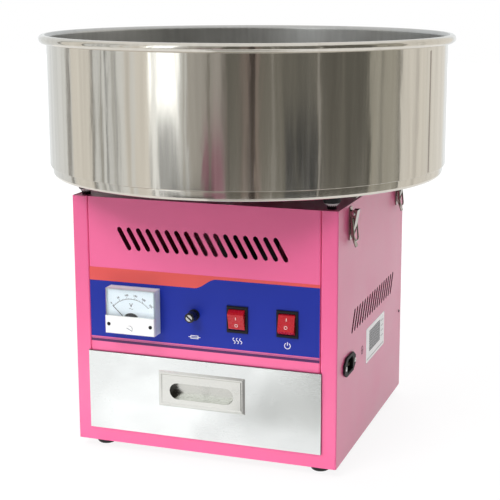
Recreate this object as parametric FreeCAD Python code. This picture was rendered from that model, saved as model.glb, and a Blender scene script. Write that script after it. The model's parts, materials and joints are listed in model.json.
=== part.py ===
import FreeCAD, Part
import math
import os

# Electric candy-floss machine: folded steel casing on four feet, control panel, crumb drawer,
# lift-off spun bowl and a spinning head that melts sugar and throws it through a slotted band.
# Millimetres. +Z up, the origin is on the floor under the middle of the casing, -Y is the front.

V = FreeCAD.Vector

# ---- casing ----
body_width = 334.0
body_depth = 330.0
body_height = 308.0
foot_height = 11.0
sheet = 1.5
bend_inside = 0.6
flange_width = 20.0
lip_depth = 12.0
seam_gap = 0.4
cover_sheet = 1.2
cover_margin_x = 9.0
cover_margin_z = 8.0
top_plate_skirt = 15.0

# ---- vent rows: slanted slots, punched with one tool ----
vent_count = 17
vent_pitch = 12.35
vent_lean = 12.7
vent_rise = 22.7
vent_radius = 2.9
vent_end_steps = 3
front_vent_height = 259.0
side_vent_height = 161.5
side_vent_back = 6.0

# ---- drawer ----
drawer_front_height = 99.0
drawer_front_lift = 17.2
drawer_front_depth = 3.0
drawer_front_edge = 0.9
drawer_overlap = 2.0
drawer_sheet = 1.2
drawer_length = 250.0
tray_side_gap = 5.0
tray_height = 80.0
runner_shelf = 9.5
runner_flange = 13.0
runner_fence = 22.0
hem_height = 6.0
pull_width = 111.0
pull_height = 45.0
pull_above_base = 78.2
pull_relief = 2.6
pull_bevel = 2.5
grip_length = 82.0
grip_height = 20.3
grip_above_base = 76.2
grip_depth = 14.0
grip_end_steps = 8
pull_sheet = 1.0

# ---- control panel, heights above the underside of the casing ----
meter_x = -85.5
meter_height_up = 173.3
meter_width = 64.0
meter_height = 55.0
meter_stand = 18.8
meter_barrel_radius = 25.0
meter_barrel_depth = 28.0
meter_base = 11.8
meter_wall = 1.5
meter_window_bevel = 1.4
meter_cover_bevel = 0.8
meter_cover_height = 21.7
meter_cover_proud = 1.2
meter_pivot_down = 15.1
meter_coil_radius = 13.0
needle_length = 31.5
needle_tail = 6.0
needle_stand = 3.1
needle_rest_angle = 47.5
needle_pin_radius = 0.7
zero_screw_down = 5.4
zero_screw_radius = 2.3
zero_head_radius = 4.0
fuse_x = -9.5
fuse_height_up = 172.5
fuse_knob_radius = 6.0
fuse_knob_length = 13.5
fuse_knob_turn = 40.0
fuse_carrier_radius = 3.6
fuse_flange_thickness = 2.5
fuse_flange_radius = 7.0
fuse_body_radius = 5.8
fuse_body_depth = 36.0
heat_switch_x = 45.4
power_switch_x = 107.1
switch_height_up = 171.7
bezel_width = 26.3
bezel_height = 32.4
bezel_thickness = 2.5
bezel_bevel = 0.8
rocker_width = 20.0
rocker_half_height = 12.3
rocker_face_half = 9.5
rocker_proud = 3.6
rocker_skirt = 6.0
rocker_pivot_in = 4.0
rocker_tilt = 14.0
rocker_pin_radius = 1.5
switch_depth = 24.0

# ---- mains inlet on the right side ----
inlet_y = -114.0
inlet_height_up = 114.0
inlet_flange_length = 50.0
inlet_face_length = 30.0
inlet_face_height = 23.0
inlet_flange_thickness = 2.5
inlet_cavity_length = 24.4
inlet_cavity_height = 16.6
inlet_cavity_depth = 15.0
inlet_wall = 1.6
inlet_ear = 5.0
inlet_key = 4.0

# ---- latches ----
latch_inset_front = 51.0
latch_inset_rear = 41.0
latch_pivot_down = 10.0
latch_pivot_out = 6.0
latch_width = 13.0
latch_sheet = 1.2
latch_tip_down = 50.0
latch_pin_radius = 1.5
bail_wire = 1.0
bail_sides = 8
bail_length = 27.0
bail_drop = 6.0
bail_lean = 5.6
bail_bend = 2.5
pin_clearance = 0.05

# ---- feet and bumpers ----
foot_inset_x = 26.0
foot_inset_y = 25.0
foot_top_radius = 12.5
foot_bottom_radius = 9.0
bumper_inset_x = 12.0
bumper_inset_y = 15.0
bumper_radius = 10.0
cup_radius = 9.0
cup_height = 7.5
cup_foot_radius = 5.2
taper_sides = 16

# ---- bowl ----
rim_radius = 260.0
bowl_radius = 250.4
bowl_sheet = 1.2
rim_steps = 8
bowl_lift = 17.7
bowl_height = 172.2
foot_step = 3.4
foot_rise = 12.0
bowl_hole_radius = 76.0
bowl_collar_height = 14.0
keeper_drop = 9.5
keeper_inset = 2.5
keeper_tab = 14.0
keeper_width = 12.0
keeper_lip = 5.0

# ---- drive ----
shaft_radius = 6.0
top_bore_radius = 45.0
hub_cover_radius = 68.0
hub_cover_height = 25.0
bracket_size = 140.0
bracket_drop = 36.0
bracket_thickness = 3.0
isolator_radius = 9.0
motor_radius = 40.0
motor_height = 84.0
bracket_bore_radius = 16.0
isolator_inset = 14.0
hub_hole_gap = 3.0
fan_radius = 38.0
fan_height = 14.0
fan_blades = 6
fan_hub_radius = 12.0
fan_blade_sheet = 1.5
fan_blade_pitch = 30.0
fan_drop = 6.0

# ---- spinning head ----
head_radius = 66.0
head_sheet = 1.5
head_dish_depth = 11.0
head_hub_height = 9.0
head_cone_radius = 18.0
lid_neck_height = 7.0
head_gap = 16.0
band_height = 36.0
band_radius = 61.6
band_sheet = 1.0
slit_count = 28
slit_width = 2.0
ribbon_folds = 24
ribbon_inner = 50.5
ribbon_outer = 57.5
ribbon_sheet = 1.2
ribbon_height = 26.0
ribbon_posts_count = 3
funnel_radius = 28.5
nut_radius = 9.0
nut_height = 6.5
post_height = 4.0

# ---- clearances ----
run_gap = 0.3
fit_gap = 0.3

# ---- derived levels and faces ----
base_z = foot_height
top_z = base_z + body_height
right = body_width / 2
front = -body_depth / 2
back = body_depth / 2
seam_x = right - flange_width
floor_z = base_z + sheet
top_plate_z = top_z - seam_gap
top_plate_under = top_plate_z - sheet
bowl_z = top_z + bowl_lift
rim_z = bowl_z + bowl_height
bowl_floor_z = bowl_z + bowl_sheet
opening_low = base_z + drawer_front_lift + drawer_overlap
opening_high = base_z + drawer_front_lift + drawer_front_height - drawer_overlap
drawer_face_y = front - run_gap - drawer_front_depth
bracket_top = top_plate_under - bracket_drop
bracket_under = bracket_top - bracket_thickness
motor_z = bracket_under - motor_height
head_z = bowl_z + head_gap + head_sheet
foot_inside = bowl_radius - foot_step - 2 * bowl_sheet
keeper_stem_x = right + latch_pivot_out - keeper_inset
row_reach = math.sqrt((foot_inside - run_gap) ** 2 - (keeper_stem_x + keeper_lip) ** 2) - keeper_width / 2
latch_rows = (max(front + latch_inset_front, -row_reach), min(back - latch_inset_rear, row_reach))


# ---- building blocks ----
def box(x0, x1, y0, y1, z0, z1):
    return Part.makeBox(x1 - x0, y1 - y0, z1 - z0, V(x0, y0, z0))


def rod(start, end, radius):
    return Part.makeCylinder(radius, (end - start).Length, start, end - start)


def fused(shapes):
    return shapes[0].multiFuse(shapes[1:]).removeSplitter()


def mirrored(shape):
    return shape.mirror(V(0, 0, 0), V(1, 0, 0))


PLANES = {
    "xy": (lambda a, b: V(a, b, 0), V(0, 0, 1)),
    "xz": (lambda a, b: V(a, 0, b), V(0, 1, 0)),
    "yz": (lambda a, b: V(0, a, b), V(1, 0, 0)),
}


def bow(centre, radius, start, end, steps):
    """Points on an arc, its angles in degrees from the first axis of its plane."""
    angles = [math.radians(start + (end - start) * index / steps) for index in range(steps + 1)]
    return [(centre[0] + radius * math.cos(a), centre[1] + radius * math.sin(a)) for a in angles]


def face(plane, path):
    place = PLANES[plane][0]
    points = [place(a, b) for a, b in path]
    return Part.Face(Part.makePolygon(points + points[:1]))


def prism(plane, path, low, high):
    along = PLANES[plane][1]
    solid = face(plane, path).extrude(along * (high - low))
    solid.translate(along * low)
    return solid


def turned(path, x=0.0, y=0.0):
    """Solid turned about the upright axis from a path of (radius, height) points."""
    solid = face("xz", path).revolve(V(0, 0, 0), V(0, 0, 1), 360)
    if solid.Volume < 0:
        solid.reverse()
    solid.translate(V(x, y, 0))
    return solid


def folded(path, thickness, low, high):
    """Sheet folded along a plan path of its outer face; the thickness lies to the path's left."""
    points = [V(x, y, 0) for x, y in path]
    runs = [(b - a).normalize() for a, b in zip(points, points[1:])]
    sides = [V(-run.y, run.x, 0) for run in runs]
    inner = [points[0] + sides[0] * thickness]
    for point, one, two in zip(points[1:-1], sides, sides[1:]):
        inner.append(point + (one + two) * (thickness / (1 + one.dot(two))))
    inner.append(points[-1] + sides[-1] * thickness)
    outline = points + inner[::-1]
    solid = prism("xy", [(p.x, p.y) for p in outline], low, high)
    for corners, radius in ((points[1:-1], bend_inside + thickness), (inner[1:-1], bend_inside)):
        solid = solid.makeFillet(radius, upright_edges(solid, corners))
    return solid


def upright_edges(solid, corners):
    def stands_on(edge, corner):
        ends = [vertex.Point for vertex in edge.Vertexes]
        return all(math.hypot(end.x - corner.x, end.y - corner.y) < 1e-4 for end in ends)
    return [edge for edge in solid.Edges if any(stands_on(edge, corner) for corner in corners)]


def tapered(x, y, rings):
    """Round piece lofted through (radius, height) rings, with few sides because it is repeated."""
    wires = []
    for radius, height in rings:
        points = [V(x + a, y + b, height) for a, b in bow((0, 0), radius, 0, 360, taper_sides)[:-1]]
        wires.append(Part.makePolygon(points + points[:1]))
    return Part.makeLoft(wires, True, True)


def stadium(plane, foot, head, radius, low, high, steps):
    """Slot with round ends from foot to head, the centres of its two ends."""
    lean = math.degrees(math.atan2(head[1] - foot[1], head[0] - foot[0]))
    path = bow(head, radius, lean - 90, lean + 90, steps) + bow(foot, radius, lean + 90, lean + 270, steps)
    return prism(plane, path, low, high)


def slot_row(plane, middle, height, lean, low, high):
    """Cutters for one row of slanted vents."""
    cutters = []
    for index in range(vent_count):
        at = middle + (index - (vent_count - 1) / 2) * vent_pitch
        foot = (at - lean / 2, base_z + height - vent_rise / 2)
        head = (at + lean / 2, base_z + height + vent_rise / 2)
        cutters.append(stadium(plane, foot, head, vent_radius, low, high, vent_end_steps))
    return cutters


def corners(inset_x, inset_y):
    return [(sx * (right - inset_x), sy * (back - inset_y)) for sx in (-1, 1) for sy in (-1, 1)]


def at_latches(shape):
    """Copies of a right-hand latch piece, made at y = 0, at the four latches."""
    pieces = {}
    for row, row_y in zip(("front", "rear"), latch_rows):
        piece = shape.copy()
        piece.translate(V(0, row_y, 0))
        pieces[row + "_right"] = piece
        pieces[row + "_left"] = mirrored(piece)
    return pieces


def save(node, *solids):
    shape = solids[0] if len(solids) == 1 else Part.makeCompound(list(solids))
    shape.exportStep("parts/" + node + ".step")


# ---- casing and panels ----
def casing():
    side_path = [
        (seam_x, front + lip_depth), (seam_x, front), (right, front),
        (right, back), (seam_x, back), (seam_x, back - lip_depth),
    ]
    side = folded(side_path, sheet, base_z, top_z)
    strip_reach = seam_x + 2 * sheet
    shell = fused([
        side, mirrored(side),
        box(-right + sheet, right - sheet, front + sheet, back - sheet, base_z, floor_z),
        box(-strip_reach, strip_reach, front, front + sheet, base_z, opening_low),
        box(-strip_reach, strip_reach, back - sheet, back, base_z, opening_low),
    ])
    cutters = slot_row("yz", side_vent_back, side_vent_height, vent_lean, -right - 1, right + 1)
    return shell.cut(cutters + lip_trims() + [inlet_cutout()])


def lip_trims():
    """Room for the top plate over the upright lips behind the seams."""
    low, high = top_plate_under - fit_gap, top_z + 1
    reach = (seam_x - 2 * sheet, seam_x + 2 * sheet)
    depth = (front + sheet, front + lip_depth + 1)
    trims = [box(x0, x1, y0, y1, low, high)
             for x0, x1 in (reach, (-reach[1], -reach[0])) for y0, y1 in (depth, (-depth[1], -depth[0]))]
    return trims


def front_panel():
    edge_x = seam_x - seam_gap
    path = [(-edge_x, front + lip_depth), (-edge_x, front), (edge_x, front), (edge_x, front + lip_depth)]
    panel = folded(path, sheet, opening_high, top_z)
    y0, y1 = front - 1, front + sheet + 1
    cutters = slot_row("xz", 0, front_vent_height, -vent_lean, y0, y1)
    meter_z = base_z + meter_height_up
    fuse_z = base_z + fuse_height_up
    cutters.append(rod(V(meter_x, y0, meter_z), V(meter_x, y1, meter_z), meter_barrel_radius + fit_gap))
    cutters.append(rod(V(fuse_x, y0, fuse_z), V(fuse_x, y1, fuse_z), fuse_body_radius + fit_gap))
    for x in (heat_switch_x, power_switch_x):
        half_x, half_z = switch_body_halves()
        z = base_z + switch_height_up
        cutters.append(box(x - half_x - fit_gap, x + half_x + fit_gap, y0, y1,
                           z - half_z - fit_gap, z + half_z + fit_gap))
    return panel.cut(cutters + lip_trims())


def top_plate():
    half_x = right - sheet - fit_gap
    half_y = back - sheet - fit_gap
    lid = box(-half_x, half_x, -half_y, half_y, top_plate_z - top_plate_skirt, top_plate_z)
    inside = box(-half_x + sheet, half_x - sheet, -half_y + sheet, half_y - sheet,
                 top_plate_z - top_plate_skirt - 1, top_plate_under)
    relief_x = seam_x + sheet + fit_gap
    reliefs = []
    for sign in (-1, 1):
        y0, y1 = sorted((sign * half_y, sign * (back - lip_depth - fit_gap)))
        reliefs += [box(x0, x1, y0 - 1, y1 + 1, top_plate_z - top_plate_skirt - 1, top_plate_under)
                    for x0, x1 in ((seam_x - sheet - 1, relief_x), (-relief_x, -seam_x + sheet + 1))]
    bore = rod(V(0, 0, top_plate_under - 1), V(0, 0, top_plate_z + 1), top_bore_radius)
    return lid.cut([inside, bore] + reliefs)


def back_cover():
    half_x = right - cover_margin_x
    return box(-half_x, half_x, back, back + cover_sheet, base_z + cover_margin_z, top_z - cover_margin_z)


# ---- feet and bumpers ----
def foot(x, y):
    return tapered(x, y, [(foot_bottom_radius, 0), (foot_top_radius, foot_height)])


def bumper_places():
    """Near the corners of the casing and inside the foot of the bowl that they carry."""
    places = corners(bumper_inset_x, bumper_inset_y)
    share = min(1, (foot_inside - run_gap - bumper_radius) / math.hypot(*places[0]))
    return [(x * share, y * share) for x, y in places]


def bumper_cup(x, y):
    z = top_plate_z
    waist = (cup_foot_radius + 0.6, z + cup_height / 2)
    return tapered(x, y, [(cup_foot_radius, z), waist, (cup_radius, z + cup_height)])


def bumper_pad(x, y):
    low, high = top_plate_z + cup_height, bowl_floor_z - run_gap
    edge = bumper_radius - 1.4
    return tapered(x, y, [(edge, low), (bumper_radius, low + 2), (bumper_radius, high - 2), (edge, high)])


# ---- latches: base, lever and wire bail, made on the right side at y = 0 ----
def latch_points():
    pivot = V(right + latch_pivot_out, 0, top_z - latch_pivot_down)
    bail_pivot = pivot + V(-1, 0, -bail_drop)
    return pivot, bail_pivot


def latch_base():
    pivot, _ = latch_points()
    ear_half = latch_width / 2 - latch_sheet - run_gap
    tip, root = pivot.x + 2.0, right
    plate = box(right, right + latch_sheet, -ear_half, ear_half, top_z - latch_tip_down + 8, top_z - 3)
    ear_path = [(root, pivot.z - 4), (tip - 1.4, pivot.z - 2.1), (tip, pivot.z - 1), (tip, pivot.z + 1),
                (tip - 1.4, pivot.z + 2.1), (root, pivot.z + 2.2)]
    ears = [prism("xz", ear_path, y, y + latch_sheet) for y in (-ear_half, ear_half - latch_sheet)]
    reach = V(0, latch_width / 2 + 0.8, 0)
    return fused([plate, rod(pivot - reach, pivot + reach, latch_pin_radius)] + ears)


def latch_lever():
    """Tapered channel: its web leans in to the waist and flares out again to a finger tip."""
    pivot, bail_pivot = latch_points()
    crown = (pivot.x + 4.5, pivot.z + 4)
    waist = (right + 4.2, top_z - 38)
    tip = (right + 8.5, top_z - latch_tip_down)
    half = latch_width / 2
    inset = latch_sheet / math.cos(math.atan2(crown[0] - waist[0], crown[1] - waist[1]))
    inner_waist = (waist[0] - inset, waist[1])
    web = prism("xz", [crown, waist, inner_waist, (crown[0] - inset, crown[1])], -half, half)
    bill = prism("xz", [waist, tip, (tip[0] - latch_sheet, tip[1]), inner_waist], -half + 1.5, half - 1.5)
    cheek_path = [crown, waist, inner_waist, (right + 2.4, pivot.z - 9), (right + 2.4, pivot.z + 1),
                  (pivot.x - 1.8, pivot.z + 4)]
    cheeks = [prism("xz", cheek_path, y, y + latch_sheet) for y in (-half, half - latch_sheet)]
    through = V(0, half + 1, 0)
    bore = rod(pivot - through, pivot + through, latch_pin_radius + pin_clearance)
    eye_radius = (bail_wire + pin_clearance) / math.cos(math.pi / bail_sides)
    eye_path = bow((bail_pivot.x, bail_pivot.z), eye_radius, 0, 360, bail_sides)[:-1]
    eye = prism("xz", eye_path, -half - 1, half + 1)
    return fused([web, bill] + cheeks).cut([bore, eye])


def latch_bail():
    """Wire loop hung in the lever's cheeks, leaning out over the lever's waist."""
    _, pivot = latch_points()
    leg_y = latch_width / 2 + bail_wire + run_gap + 1.2
    stub_y = latch_width / 2 - latch_sheet - 0.2
    half = [(stub_y, 0), (leg_y, 0), (leg_y, bail_bend - bail_length), (leg_y - bail_bend, -bail_length)]
    route = [V(0, -y, z) for y, z in half] + [V(0, y, z) for y, z in half[::-1]]
    ring = [route[0] + V(a, 0, b) for a, b in bow((0, 0), bail_wire, 0, 360, bail_sides)[:-1]]
    section = Part.makePolygon(ring + ring[:1])
    loop = Part.makePolygon(route).makePipeShell([section], True, False, 1)
    loop.rotate(V(0, 0, 0), V(0, 1, 0), -bail_lean)
    loop.translate(pivot)
    return loop


# ---- drawer ----
def tray_box():
    half_x = seam_x - tray_side_gap
    low = opening_low + 3
    return half_x, low, low + tray_height


def drawer_tray():
    half_x, low, high = tray_box()
    near, far = drawer_face_y + drawer_sheet, drawer_face_y + drawer_sheet + drawer_length
    wall = drawer_sheet
    outer = box(-half_x, half_x, near, far, low, high)
    hem_x = half_x - 2 * wall
    hem = box(-hem_x, hem_x, near + 2 * wall, far - 2 * wall, high - hem_height, high + 1)
    pocket = box(-half_x + wall, half_x - wall, near + wall, far - wall, low + wall, high - hem_height)
    grip = grip_slot(2 * pull_sheet + 2 * fit_gap, near - 1, near + 2 * wall + 1)
    return outer.cut([pocket, hem, grip])


def grip_slot(extra, low, high):
    reach = (grip_length - grip_height) / 2
    z = base_z + grip_above_base
    return stadium("xz", (-reach, z), (reach, z), (grip_height + extra) / 2, low, high, grip_end_steps)


def drawer_front():
    half_x = seam_x + drawer_overlap
    low = base_z + drawer_front_lift
    high = low + drawer_front_height
    y0, y1 = drawer_face_y, drawer_face_y + drawer_front_depth
    pan = box(-half_x, half_x, y0, y1, low, high)
    face_edges = [edge for edge in pan.Edges if all(abs(v.Point.y - y0) < 1e-6 for v in edge.Vertexes)]
    pan = pan.makeFillet(drawer_front_edge, face_edges)
    wall = drawer_sheet
    hollow = box(-half_x + wall, half_x - wall, y0 + wall, y1 + 1, low + wall, high - wall)
    return pan.cut([hollow, grip_slot(2 * pull_sheet + 2 * fit_gap, y0 - 1, y1 + 1)])


def rectangle(half_x, half_z, y, z):
    points = [V(sx * half_x, y, z + sz * half_z) for sx, sz in ((-1, -1), (1, -1), (1, 1), (-1, 1))]
    return Part.makePolygon(points + points[:1])


def drawer_pull():
    """Pressed plate with a raised frame and a deep finger cup let into the drawer front."""
    z = base_z + pull_above_base
    y = drawer_face_y
    half_x, half_z = pull_width / 2, pull_height / 2
    crest = pull_bevel
    plate = Part.makeLoft([rectangle(half_x, half_z, y, z),
                           rectangle(half_x - crest, half_z - crest, y - pull_relief, z)], True, True)
    crest += 1.2
    bed = crest + 1.5
    sink = Part.makeLoft([rectangle(half_x - crest, half_z - crest, y - pull_relief - 0.01, z),
                          rectangle(half_x - bed, half_z - bed, y - pull_relief + 1.3, z)], True, True)
    cup_back = y - pull_relief + grip_depth
    cup = grip_slot(2 * pull_sheet, y - 0.2, cup_back + pull_sheet)
    inside = grip_slot(0, y - pull_relief - 1, cup_back)
    return fused([plate.cut(sink), cup]).cut(inside)


def drawer_runner():
    """Folded ledge under one side of the tray, standing on the casing floor."""
    half_x, low, _ = tray_box()
    shelf = low - run_gap
    stem = half_x + 1.5
    foot_x, lip_x, fence_z = stem - runner_flange, stem - runner_shelf, low + runner_fence
    path = [(foot_x, floor_z), (stem + sheet, floor_z), (stem + sheet, fence_z), (stem, fence_z),
            (stem, shelf), (lip_x, shelf), (lip_x, shelf - sheet), (stem, shelf - sheet),
            (stem, floor_z + sheet), (foot_x, floor_z + sheet)]
    return prism("xz", path, front + lip_depth + 2, front + lip_depth + drawer_length)


# ---- voltmeter ----
def meter_planes():
    """Depths of the shelf behind the cover, the cover's face and the window's face."""
    return front - meter_base, front - meter_stand, front - meter_stand + meter_cover_proud


def meter_levels():
    """Bottom, top of the cover and top of the meter."""
    low = base_z + meter_height_up - meter_height / 2
    return low, low + meter_cover_height, low + meter_height


def meter_box(inset, y0, y1, z0, z1):
    half = meter_width / 2 - inset
    return box(meter_x - half, meter_x + half, y0, y1, z0, z1)


def meter_case():
    z = base_z + meter_height_up
    low, _, high = meter_levels()
    base = meter_box(0, front - meter_base, front, low, high)
    barrel = rod(V(meter_x, front, z), V(meter_x, front + meter_barrel_depth, z), meter_barrel_radius)
    return fused([base, barrel])


def meter_shell(low, high, face_y, chamfer):
    """Open-backed cover of the meter between two heights, its front edges bevelled."""
    shelf_y = meter_planes()[0]
    shell = meter_box(0, face_y, shelf_y, low, high)
    rim = [edge for edge in shell.Edges if all(abs(v.Point.y - face_y) < 1e-6 for v in edge.Vertexes)]
    shell = shell.makeChamfer(chamfer, rim)
    hollow = meter_box(meter_wall, face_y + meter_wall, shelf_y + 1, low + meter_wall, high - meter_wall)
    return shell.cut(hollow)


def meter_window():
    """Clear upper half, open below where the cover laps it."""
    shelf_y, _, face_y = meter_planes()
    _, split, high = meter_levels()
    shell = meter_shell(split, high, face_y, meter_window_bevel)
    mouth = meter_box(meter_wall, face_y + meter_wall, shelf_y + 1, split - 1, split + meter_wall + 1)
    return shell.cut(mouth)


def meter_cover():
    """White lower half with a bore for the zero screw; its top is open to the window."""
    shelf_y, face_y, window_y = meter_planes()
    low, split, _ = meter_levels()
    shell = meter_shell(low, split, face_y, meter_cover_bevel)
    mouth = meter_box(meter_wall, window_y + meter_wall, shelf_y + 1, split - meter_wall - 1, split + 1)
    at = zero_screw_place(face_y)
    bore = rod(at - V(0, 1, 0), at + V(0, meter_wall + 1, 0), zero_screw_radius + pin_clearance)
    return shell.cut([mouth, bore])


def meter_pivot():
    return V(meter_x, meter_planes()[0] - needle_stand, base_z + meter_height_up - meter_pivot_down)


def zero_screw_place(y):
    return V(meter_x, y, meter_pivot().z - zero_screw_down)


def meter_dial():
    inset = meter_wall + fit_gap
    shelf_y = meter_planes()[0]
    _, split, high = meter_levels()
    return meter_box(inset, shelf_y - 1, shelf_y, split - 6, high - inset)


def meter_movement():
    """Round cover of the moving coil with its pivot pin."""
    pivot = meter_pivot()
    shelf_y = meter_planes()[0]
    low = meter_levels()[0] + meter_wall + fit_gap
    centre = V(pivot.x, shelf_y, pivot.z)
    disc = rod(centre - V(0, 2, 0), centre - V(0, 1, 0), meter_coil_radius)
    disc = disc.common(meter_box(0, shelf_y - 3, shelf_y, low, low + meter_height))
    reach = needle_stand + 1.2
    return fused([disc, rod(centre - V(0, reach, 0), centre - V(0, 1.5, 0), needle_pin_radius)])


def meter_needle():
    pivot = meter_pivot()
    hub = rod(pivot - V(0, 0.5, 0), pivot + V(0, 0.5, 0), 2.2)
    path = [(-0.6, -needle_tail), (0.6, -needle_tail), (0.25, needle_length), (-0.25, needle_length)]
    blade = prism("xz", path, -0.3, 0.3)
    blade.translate(pivot)
    needle = fused([hub, blade])
    needle.rotate(pivot, V(0, 1, 0), -needle_rest_angle)
    return needle.cut(rod(pivot - V(0, 2, 0), pivot + V(0, 2, 0), needle_pin_radius + pin_clearance))


def meter_zero_screw():
    """Slotted white screw that sets the needle to zero."""
    at = zero_screw_place(meter_planes()[1])
    knob = fused([rod(at - V(0, 1.2, 0), at, zero_head_radius),
                  rod(at, at + V(0, meter_wall + 0.6, 0), zero_screw_radius)])
    slot = box(at.x - 4, at.x + 4, at.y - 2, at.y - 0.6, at.z - 0.5, at.z + 0.5)
    slot.rotate(at, V(0, 1, 0), 25)
    return knob.cut(slot)


# ---- fuse holder ----
def fuse_place(y):
    return V(fuse_x, y, base_z + fuse_height_up)


def fuse_holder():
    deep = front + fuse_body_depth
    body = fused([rod(fuse_place(front - fuse_flange_thickness), fuse_place(front), fuse_flange_radius),
                  rod(fuse_place(front), fuse_place(deep), fuse_body_radius)])
    bore = rod(fuse_place(front - 3), fuse_place(deep - 2), 4.0)
    tabs = [box(fuse_x - 0.4, fuse_x + 0.4, deep, deep + 8, base_z + fuse_height_up - 2.4,
                base_z + fuse_height_up + 2.4)]
    return fused([body.cut(bore)] + tabs)


def fuse_knob():
    near = front - fuse_flange_thickness - run_gap
    face = near - fuse_knob_length
    path = [(0, 0), (fuse_knob_radius - 0.8, 0), (fuse_knob_radius, 0.8),
            (fuse_knob_radius, fuse_knob_length), (0, fuse_knob_length)]
    knob = turned(path)
    slot = box(-0.8, 0.8, -7, 7, -1, 1.6)
    knob = knob.cut(slot)
    knob.rotate(V(0, 0, 0), V(0, 0, 1), fuse_knob_turn)
    knob.rotate(V(0, 0, 0), V(1, 0, 0), -90)
    knob.translate(fuse_place(face))
    carrier = rod(fuse_place(near), fuse_place(near + 26), fuse_carrier_radius)
    return fused([knob, carrier])


# ---- rocker switches ----
def switch_body_halves():
    return rocker_width / 2 + 2.2, rocker_half_height + 2.6


def rocker_reach():
    return math.hypot(rocker_half_height, rocker_pivot_in - 0.5) + run_gap


def switch_body(x):
    z = base_z + switch_height_up
    half_x, half_z = switch_body_halves()
    bezel = box(x - bezel_width / 2, x + bezel_width / 2, front - bezel_thickness, front,
                z - bezel_height / 2, z + bezel_height / 2)
    rim = [edge for edge in bezel.Edges
           if all(abs(v.Point.y - front + bezel_thickness) < 1e-6 for v in edge.Vertexes)]
    bezel = bezel.makeChamfer(bezel_bevel, rim)
    rear = box(x - half_x, x + half_x, front, front + switch_depth, z - half_z, z + half_z)
    well = box(x - rocker_width / 2 - run_gap, x + rocker_width / 2 + run_gap, front - 5, front + 9,
               z - rocker_reach(), z + rocker_reach())
    tabs = [box(x - 3, x + 3, front + switch_depth, front + switch_depth + 7, z + dz - 0.4, z + dz + 0.4)
            for dz in (-9, 0, 9)]
    pivot = switch_pivot(x)
    reach = V(rocker_width / 2 + 1.7, 0, 0)
    pins = rod(pivot - reach, pivot + reach, rocker_pin_radius + pin_clearance)
    return fused([bezel, rear] + tabs).cut([well, pins])


def switch_pivot(x):
    return V(x, front - bezel_thickness + rocker_pivot_in, base_z + switch_height_up)


def rocker(x, tilt):
    """Rocker with a flat face between bevelled ends; tilt raises its top end."""
    pivot = switch_pivot(x)
    tall, face, proud = rocker_half_height, rocker_face_half, rocker_proud + rocker_pivot_in
    shoulder = rocker_pivot_in - 0.5
    inward = rocker_skirt - rocker_pivot_in
    path = [(inward, -tall), (-shoulder, -tall), (-proud, -face),
            (-proud, face), (-shoulder, tall), (inward, tall)]
    body = prism("yz", path, -rocker_width / 2, rocker_width / 2)
    reach = V(rocker_width / 2 + 1.5, 0, 0)
    body = fused([body, rod(-reach, reach, rocker_pin_radius)])
    body.rotate(V(0, 0, 0), V(1, 0, 0), tilt)
    body.translate(pivot)
    return body


# ---- mains inlet ----
def inlet_z():
    return base_z + inlet_height_up


def inlet_cutout():
    half_y = inlet_cavity_length / 2 + inlet_wall + fit_gap
    half_z = inlet_cavity_height / 2 + inlet_wall + fit_gap
    y, z = inlet_y, inlet_z()
    return box(right - 5, right + 1, y - half_y, y + half_y, z - half_z, z + half_z)


def chamfered(half_y, half_z, chamfer):
    """Outline in the side plane with its two upper corners cut off."""
    y, z = inlet_y, inlet_z()
    return [(y - half_y, z - half_z), (y + half_y, z - half_z), (y + half_y, z + half_z - chamfer),
            (y + half_y - chamfer, z + half_z), (y - half_y + chamfer, z + half_z),
            (y - half_y, z + half_z - chamfer)]


def inlet_housing():
    y, z = inlet_y, inlet_z()
    tip, shoulder, half_z = inlet_flange_length / 2, inlet_face_length / 2, inlet_face_height / 2
    ear = inlet_ear
    flange_path = [(y - tip, z - ear), (y - shoulder, z - half_z), (y + shoulder, z - half_z),
                   (y + tip, z - ear), (y + tip, z + ear), (y + shoulder, z + half_z),
                   (y - shoulder, z + half_z), (y - tip, z + ear)]
    flange = prism("yz", flange_path, right, right + inlet_flange_thickness)
    deep = right + inlet_flange_thickness - inlet_cavity_depth
    body_y = inlet_cavity_length / 2 + inlet_wall
    body_z = inlet_cavity_height / 2 + inlet_wall
    body = box(deep - inlet_wall, right, y - body_y, y + body_y, z - body_z, z + body_z)
    mouth = chamfered(inlet_cavity_length / 2, inlet_cavity_height / 2, inlet_key)
    cavity = prism("yz", mouth, deep, right + 5)
    return fused([flange, body]).cut([cavity] + inlet_pins())


def inlet_pins():
    deep = right + inlet_flange_thickness - inlet_cavity_depth
    places = [(inlet_y + dy, inlet_z() + dz) for dy, dz in ((0, 3.6), (-7, -2.2), (7, -2.2))]
    return [box(deep - 8, right - 1, y - 1, y + 1, z - 2, z + 2) for y, z in places]


# ---- bowl ----
def bowl_wall():
    """Rolled sheet with a round wired rim, drawn in to a narrower foot at the bottom."""
    r, t, z = bowl_radius, bowl_sheet, bowl_z
    bead = (rim_radius - r + t) / 2
    foot_r = r - foot_step
    centre = (r - t + bead, rim_z - bead)
    path = bow(centre, bead, 180, -90, rim_steps) + [(r, centre[1] - bead)]
    path += [(r, z + foot_rise), (foot_r, z + foot_rise / 2), (foot_r, z + 1.6), (foot_r - t, z)]
    path += [(foot_r - 2 * t, z), (foot_r - 2 * t, z + foot_rise / 2), (r - t, z + foot_rise)]
    return turned(path)


def bowl_floor():
    """Flat ring seamed into the foot of the wall, with an upright collar round the drive cover."""
    t, z, hole = bowl_sheet, bowl_floor_z, bowl_hole_radius
    edge = foot_inside
    path = [(hole, z), (edge, z), (edge, z + t), (hole + t, z + t), (hole + t, z + bowl_collar_height)]
    return turned(path + [(hole, z + bowl_collar_height)])


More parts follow.
